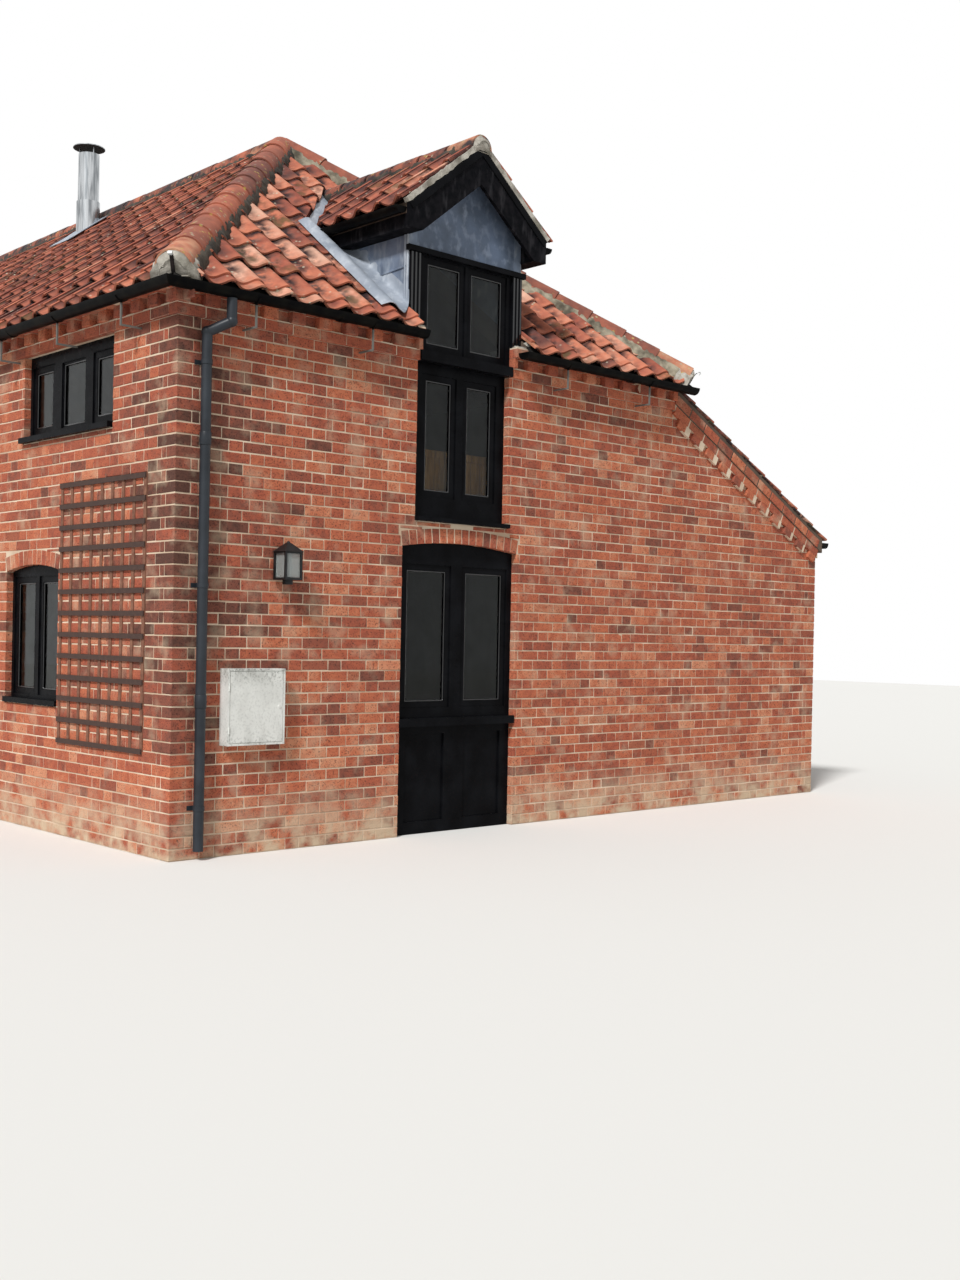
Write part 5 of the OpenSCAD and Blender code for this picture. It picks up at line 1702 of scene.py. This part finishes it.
@dataclass
class Leadwork:
    """Lead aprons and valleys beside the dormer, its lapped cheeks, and the flue's slate."""

    survey: Survey
    sheet: float = 0.004
    valley_foot: float = 0.84
    roll_r: float = 0.011
    rolls_back: tuple = (0.013, 0.041)

    def aprons(self) -> None:
        """Wide lead aprons, dressed down over the tiles beside the dormer."""
        s = self.survey
        near, stretch = s.dormer_half, math.hypot(1, s.slope)
        sheets = []
        for sign, low, crest, foot, full, pan in ((-1, -0.12, 0.794, 0.600, -0.03, 0.044),
                                                  (1, 0.33, 0.830, 0.585, 0.42, 0.078)):
            section = [(near + 0.003, 0.150), (near + 0.006, pan + 0.036), (near + 0.022, pan + 0.018),
                       (0.650, pan), (crest - 0.11, 0.047), (crest - 0.06, 0.066), (crest - 0.02, 0.091),
                       (crest, 0.096), (crest + 0.026, 0.091), (crest + 0.056, 0.068), (crest + 0.078, 0.050)]
            points = [(sign * u, low, h) for u, h in section]
            sheet = trace(f"lead_apron_{sign}", points, (0, stretch - low, 0), 24)
            slant = (-sign * (full * stretch - low), crest + 0.085 - foot, 0)
            halve(sheet, (sign * foot, low, 0), slant, fill=False)
            divide(sheet, 1)
            thicken(sheet, self.sheet)
            sheets.append(sheet)
        piece = move_mesh(joined("lead_aprons", sheets), s.roof(Side.FRONT))
        halve(piece, (-near - 0.012, -0.018 - s.half_l, 0), (-0.75, 1, 0), fill=False)
        show(piece, PALE_LEAD, "lead_flashings", lumps=(0.007, 0.09), angle=50)

    def valleys(self) -> None:
        """Open lead valleys between the dormer's roof and the front slope."""
        s = self.survey
        foot_y = s.valley_back - s.valley_run * self.valley_foot
        high = Vector((0, s.valley_back, s.roof_z(s.valley_back)))
        low = Vector((-self.valley_foot, foot_y, s.roof_z(foot_y)))
        way = (high - low).normalized()
        main_up = Vector((0, -s.slope, 1)).normalized()
        dormer_up = Vector((-s.dormer_slope, 0, 1)).normalized()
        main_out, dormer_out = main_up.cross(way), way.cross(dormer_up)
        section = [low + main_out * 0.15 + main_up * 0.014, low + main_out * 0.055 + main_up * 0.012,
                   low + Vector((0, 0, 0.010)), low + dormer_out * 0.05 + dormer_up * 0.012,
                   low + dormer_out * 0.10 + dormer_up * 0.014]
        left = trace("valley_left", [tuple(p) for p in section], tuple(high + way * 0.02 - low), 14)
        thicken(left, self.sheet)
        piece = move_mesh(both("lead_valleys", left), s.side(Side.FRONT))
        show(piece, PALE_LEAD, lumps=(0.008, 0.08), angle=50)

    def cheeks(self) -> None:
        """The upper lead sheet of each cheek, lapped over the lower one, and the corner rolls."""
        s = self.survey
        x, y = -s.dormer_half, -s.half_l
        out, lip = x - 0.0045, x - 0.009
        lap = bar("cheek_lap", [(out, 0, 0), (x + 0.002, 0, 0), (x + 0.002, 0, 0.29), (out, 0, 0.29),
                                (out, 0, 0.012), (lip, 0, 0.006), (lip, 0, -0.004)], (0, 0.95, 0), 10)
        move_mesh(lap, Matrix.Translation((0, y + 0.030, 4.17)) @ Matrix.Rotation(math.radians(-3.5), 4, "X"))
        halve(lap, (0, y, s.roof_edge + 0.03), (0, -s.slope, 1))
        roughen(lap, 0.003, 0.08)
        rolls = joined("rolls", [round_bar(f"roll_{back}", (x - 0.002, y + back, s.roof_z(back) + 0.05),
                                           (x - 0.002, y + back, s.head_z + 0.10), self.roll_r, 14)
                                 for back in self.rolls_back])
        with editing(rolls):
            pick(rolls, "EDGE", lambda at, along: abs(along.z) > 0.9)
            bpy.ops.mesh.subdivide(number_cuts=9)
        roughen(rolls, 0.006, 0.06)
        show(both("cheek_laps", lap), LEAD)
        show(both("corner_rolls", rolls), PALE_LEAD, angle=60)

    def slate(self) -> None:
        """Lead slate round the foot of the flue."""
        low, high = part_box("flue")
        along = -(low.y + high.y) / 2
        up = ((low.x + high.x) / 2 + self.survey.half_w) * math.hypot(1, self.survey.slope)
        piece = block("flue_slate", (along - 0.21, up - 0.34, 0.078), (along + 0.21, up + 0.20, 0.083))
        divide(piece, 7)
        move_mesh(piece, self.survey.roof(Side.LEFT))
        show(piece, PALE_LEAD, lumps=(0.02, 0.10), angle=50)

    def build(self) -> None:
        """Dress all the lead."""
        self.aprons()
        self.valleys()
        self.cheeks()
        self.slate()


@dataclass
class DormerTrim:
    """Verge mortar, cover strips and beads of the dormer's gable."""

    survey: Survey
    face: float = 0.150
    strip_h: float = 0.058
    strip_t: float = 0.010
    reed_r: float = 0.009
    reeds_in: tuple = (0.014, 0.050, 0.086)

    def along(self, name: str, low: float, high: float, back: float, front: float, steps: int = 1) -> Piece:
        """Bars up both verges, mitred under the ridge.

        Args:
            name: Name of the piece.
            low: Underside of the bars, off the slope.
            high: Top of the bars, off the slope.
            back: Their back, in front of the brick face.
            front: Their front, in front of the brick face.
            steps: Strips along them.

        Returns:
            Both bars.
        """
        s = self.survey
        length = s.barge_half * math.hypot(1, s.dormer_slope) + 0.2
        y0, y1, foot = s.half_l + back, s.half_l + front, -0.008
        left = bar(name, [(y0, foot, low), (y1, foot, low), (y1, foot, high), (y0, foot, high)],
                   (0, length, 0), steps)
        move_mesh(left, Side.LEFT.frame(s.barge_half, s.dormer_edge, math.atan(s.dormer_slope)))
        halve(left, *at_x(0, -1))
        return both(name, left)

    def verges(self) -> None:
        """Mortar under the verge tiles, and a cover strip on each barge board."""
        mortar = self.along("verge_mortar", 0.001, 0.040, 0.105, self.face + 0.006, 34)
        show(mortar, BEDDING, lumps=(0.030, 0.035), angle=60)
        strip = self.along("barge_cover_strip", -self.strip_h, -0.004, self.face, self.face + self.strip_t)
        ease(strip, 0.003)
        show(strip, JOINERY)

    def ledges(self) -> None:
        """Mortar trowelled on the eaves beside the window, and heaped at the foot of each apron."""
        s, pieces = self.survey, []
        y, z, half = -s.half_l, s.eaves_top, s.dormer_half
        for sign, heap in ((-1, 0.018), (1, 0.045)):
            x0, x1 = sorted((sign * (s.loft_half + 0.004), sign * (half + 0.006)))
            pieces.append(block(f"ledge_{sign}", (x0, y - 0.082, z - 0.008), (x1, y - 0.021, z + 0.011)))
            x0, x1 = sorted((sign * (half + 0.004), sign * (half + 0.062)))
            pieces.append(block(f"heap_{sign}", (x0, y - 0.080, z - 0.004), (x1, y - 0.010, z + 0.012 + heap),
                                0.006))
        piece = joined("ledge_mortar", pieces)
        divide(piece, 4)
        show(piece, BEDDING, lumps=(0.014, 0.03), angle=60)

    def reeds(self) -> None:
        """Reeds run down the corner boards of the dormer."""
        s, pieces = self.survey, []
        low, high, y = s.eaves_top + 0.022, s.head_z - 0.046, -s.half_l - 0.0195
        for inward in self.reeds_in:
            x = inward - s.dormer_half
            reed = round_bar(f"reed_{inward}", (x, y, low), (x, y, high), self.reed_r, 12)
            halve(reed, *at_y(y - 0.0045, 1))
            halve(reed, *at_y(y - 0.0008, -1), fill=False)
            pieces.append(reed)
        show(both("corner_board_reeds", joined("reeds", pieces)), BEAD, angle=50)

    def build(self) -> None:
        """Make all of it."""
        self.verges()
        self.ledges()
        self.reeds()


# Joinery and fittings

@dataclass
class Joinery:
    """Glazing beads of every light, and the framed pine panel."""

    bead: float = 0.011
    depth: float = 0.012
    to_glass: float = 0.0005
    clear: float = 0.0003
    rail: float = 0.055

    def beads(self) -> None:
        """Moulded beads in front of each pane."""
        pieces = []
        for node in ("ground_glass", "upper_glass"):
            for number, (low, high) in enumerate(solids_of(node)):
                if high.y - low.y < high.x - low.x:
                    side = Side.FRONT if low.y < 0 else Side.REAR
                else:
                    side = Side.RIGHT if low.x > 0 else Side.LEFT
                turn = side.frame(0.0)
                a, b = turn.inverted() @ low, turn.inverted() @ high
                left, right = sorted((a.x, b.x))
                face = min(a.y, b.y) - self.to_glass
                corner = (left + self.clear, face - self.depth, low.z + self.clear)
                piece = rim(f"{node}_bead_{number}", corner, (right - self.clear, face, high.z - self.clear),
                            self.bead)
                ease(piece, 0.004, 2)
                pieces.append(move_mesh(piece, turn))
        show(joined("glazing_beads", pieces), BEAD, angle=40)

    def panel(self) -> None:
        """Rails and stiles of the pine panel behind the loft lights."""
        low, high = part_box("guard_panel")
        middle = (low.x + high.x) / 2
        pieces = []
        for name, x0, x1 in (("left", low.x + 0.04, middle), ("right", middle, high.x - 0.04)):
            piece = rim(f"panel_{name}", (x0, low.y - self.depth, low.z + 0.01),
                        (x1, low.y - self.to_glass, high.z - 0.005), self.rail)
            ease(piece, 0.003)
            pieces.append(piece)
        show(joined("pine_panel_framing", pieces), PINE)

    def build(self) -> None:
        """Make all of it."""
        self.beads()
        self.panel()


@dataclass
class RainGoods:
    """Union sleeves on the gutters and sockets on the downpipe."""

    survey: Survey
    gutter_r: float = 0.056
    rim_z: float = 3.672
    centre_out: float = 0.156
    wall: float = 0.003
    sleeve: float = 0.075
    socket_r: float = 0.0385
    socket: float = 0.085
    socket_z: tuple = (0.98, 2.67)

    def sleeves(self) -> None:
        """Half-round sleeves where two lengths of gutter meet."""
        places = {Side.FRONT: (-1.28, 1.75), Side.LEFT: (-3.3, -1.1, 1.1, 3.3), Side.REAR: (-0.9, 0.9),
                  Side.RIGHT: (1.6, 3.6)}
        model = cylinder("sleeve", self.gutter_r + self.wall, self.sleeve,
                         (0, self.wall - self.centre_out, self.rim_z), (0, math.pi / 2, 0), 48, "NOTHING")
        halve(model, (0, 0, self.rim_z), (0, 0, -1), fill=False)
        thicken(model, self.wall)
        pieces = [twin(model, f"sleeve_{side.name}_{x}",
                       self.survey.side(side) @ Matrix.Translation((x, 0, 0)))
                  for side, spots in places.items()
                  for x in spots]
        bpy.data.objects.remove(model)
        show(joined("gutter_sleeves", pieces), GUTTER, angle=40)

    def sockets(self) -> None:
        """Sockets of the downpipe's lengths."""
        x, y, pieces = 0.18 - self.survey.half_w, -self.survey.half_l - 0.059, []
        for z in self.socket_z:
            piece = round_bar(f"socket_{z}", (x, y, z), (x, y, z + self.socket), self.socket_r, 32)
            ease(piece, 0.003, 2, 60)
            pieces.append(piece)
        show(joined("pipe_sockets", pieces), PIPE, angle=40)

    def build(self) -> None:
        """Make all of it."""
        self.sleeves()
        self.sockets()


@dataclass
class Fittings:
    """Small things on the walls: the lantern's panes and the meter box's lock and hinges."""

    pane: float = 0.003
    pane_half: float = 0.058
    pane_z: tuple = (1.846, 2.014)
    hinges: tuple = (0.08, 0.36)

    def lantern_glass(self) -> None:
        """Four panes behind the lantern's posts."""
        (x0, y0, _), (x1, _, _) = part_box("lantern")
        x, y, half = (x0 + x1) / 2, y0 + (x1 - x0) / 2, self.pane_half
        low, high = self.pane_z
        piece = block("lantern_panes", (x - half, y - half, low), (x + half, y + half, high))
        with editing(piece):
            pick(piece, "FACE", lambda middle, normal: abs(normal.z) > 0.9)
            bpy.ops.mesh.delete(type="FACE")
        thicken(piece, self.pane)
        show(piece, LANTERN_GLASS)

    def meter_lock(self) -> None:
        """A round key lock and two hinge knuckles on the meter box's lid."""
        (x0, y, z0), (x1, _, z1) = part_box("meter_box")
        z, key_x, pin_x, pin_y = (z0 + z1) / 2, x1 - 0.045, x0 + 0.010, y - 0.001
        lock = round_bar("meter_lock", (key_x, y - 0.004, z), (key_x, y + 0.01, z), 0.012, 24)
        ease(lock, 0.0015)
        knuckles = [round_bar(f"meter_hinge_{k}", (pin_x, pin_y, z0 + k), (pin_x, pin_y, z0 + k + 0.05),
                              0.005, 12) for k in self.hinges]
        show(joined("meter_box_lock", [lock, *knuckles]), METER, angle=40)

    def build(self) -> None:
        """Make all of it."""
        self.lantern_glass()
        self.meter_lock()


# Studio

@dataclass(frozen=True)
class Studio:
    """Pale floor, soft light, and the camera at the photograph's place."""

    eye: tuple = (-7.141, -13.245, 1.480)
    heading: float = 43.14
    tilt: float = -0.174
    roll: float = -1.09
    focal_px: float = 1400.0
    frame_px: float = 1280.0
    sensor_mm: float = 36.0
    clip_end: float = 200.0
    floor_half: float = 40.0
    floor_colour: str = "#e9e8e4"
    sun: float = 3.2
    sun_size: float = 9.0
    sun_from: tuple = (-0.65, -0.32, 0.69)
    ambient: float = 0.36

    def camera(self) -> None:
        """Place the camera by its heading, tilt and roll."""
        yaw, pitch, roll = (math.radians(a) for a in (self.heading, self.tilt, self.roll))
        ahead = Vector((math.sin(yaw) * math.cos(pitch), math.cos(yaw) * math.cos(pitch), math.sin(pitch)))
        right = Vector((math.cos(yaw), -math.sin(yaw), 0))
        down = ahead.cross(right)
        across = math.cos(roll) * right + math.sin(roll) * down
        turn = Matrix((across, math.sin(roll) * right - math.cos(roll) * down, -ahead)).transposed()
        data = bpy.data.cameras.new("photo_camera")
        data.sensor_width = self.sensor_mm
        data.lens = self.focal_px / self.frame_px * self.sensor_mm
        data.clip_end = self.clip_end
        camera = bpy.data.objects.new("photo_camera", data)
        camera.matrix_world = Matrix.Translation(self.eye) @ turn.to_4x4()
        bpy.context.scene.collection.objects.link(camera)
        bpy.context.scene.camera = camera

    def floor(self) -> None:
        """A wide pale floor at ground level."""
        only(None)
        bpy.ops.mesh.primitive_plane_add(size=2 * self.floor_half, location=(0, 0, -0.002))
        floor = added("studio_floor")
        floor.data.materials.append(bpy.data.materials.new("studio_floor"))
        Graph(floor.data.materials[0]).finish(self.floor_colour, 0.9)

    def lights(self) -> None:
        """A soft key from the front left, and a pale world that lights less than it shows."""
        data = bpy.data.lights.new("key", "SUN")
        data.energy, data.angle = self.sun, math.radians(self.sun_size)
        key = bpy.data.objects.new("key", data)
        key.rotation_euler = Vector(self.sun_from).to_track_quat("Z", "Y").to_euler()
        bpy.context.scene.collection.objects.link(key)
        world = bpy.context.scene.world = bpy.data.worlds.new("studio")
        g = Graph(world)
        seen, mirrored, through = (g.add("ShaderNodeLightPath", out=f"Is {kind} Ray")
                                   for kind in ("Camera", "Glossy", "Transmission"))
        seen = seen.math("MAXIMUM", mirrored.math("MAXIMUM", through))
        dim = g.add("ShaderNodeBackground", {"Color": "#ffffff", "Strength": self.ambient})
        full = g.add("ShaderNodeBackground", {"Color": "#ffffff"})
        g.close("ShaderNodeOutputWorld", g.add("ShaderNodeMixShader", {0: seen, 1: dim, 2: full}))

    def build(self) -> None:
        """Set the whole studio up."""
        bpy.context.scene.view_settings.view_transform = "Standard"
        self.camera()
        self.floor()
        self.lights()


NODE_FINISHES: dict[Finish, str] = {
    MORTAR: "front_wall_left front_wall_right front_arch left_wall right_wall rear_wall window_arches "
            "front_eaves left_eaves right_eaves rear_eaves lean_front_wall lean_side_wall lean_rear_wall",
    BOARDS: "roof_front roof_left roof_right roof_rear lean_roof dormer_roof",
    JOINERY: "dormer_window loft_window ground_window casements arched_windows",
    CONCRETE: "ground_slab", FLOORING: "first_floor", LEAD: "dormer_cheeks lead_flashings",
    # The dormer's gable lead is painted darker, as shade
    SHADED_GABLE_LEAD: "dormer_gable", BARGE: "barge_boards dormer_soffits", GLASS: "ground_glass upper_glass",
    PINE: "guard_panel", GUTTER: "gutters", PIPE: "downpipe", STEEL: "flue", METER: "meter_box",
    LANTERN: "lantern", LATH: "trellis",
}


def main() -> None:
    """Build the barn's looks in order and report each piece."""
    logging.basicConfig(level=logging.INFO, format="%(name)s: %(message)s")
    survey = Survey.read()
    for part in (Studio(), Brickwork(survey, Bond()), Roofing(survey), Leadwork(survey),
                 DormerTrim(survey), Joinery(), RainGoods(survey), Fittings()):
        part.build()
    for finish, nodes in NODE_FINISHES.items():
        for node in nodes.split():
            finish.dress_node(node)


if __name__ == "__main__":
    main()
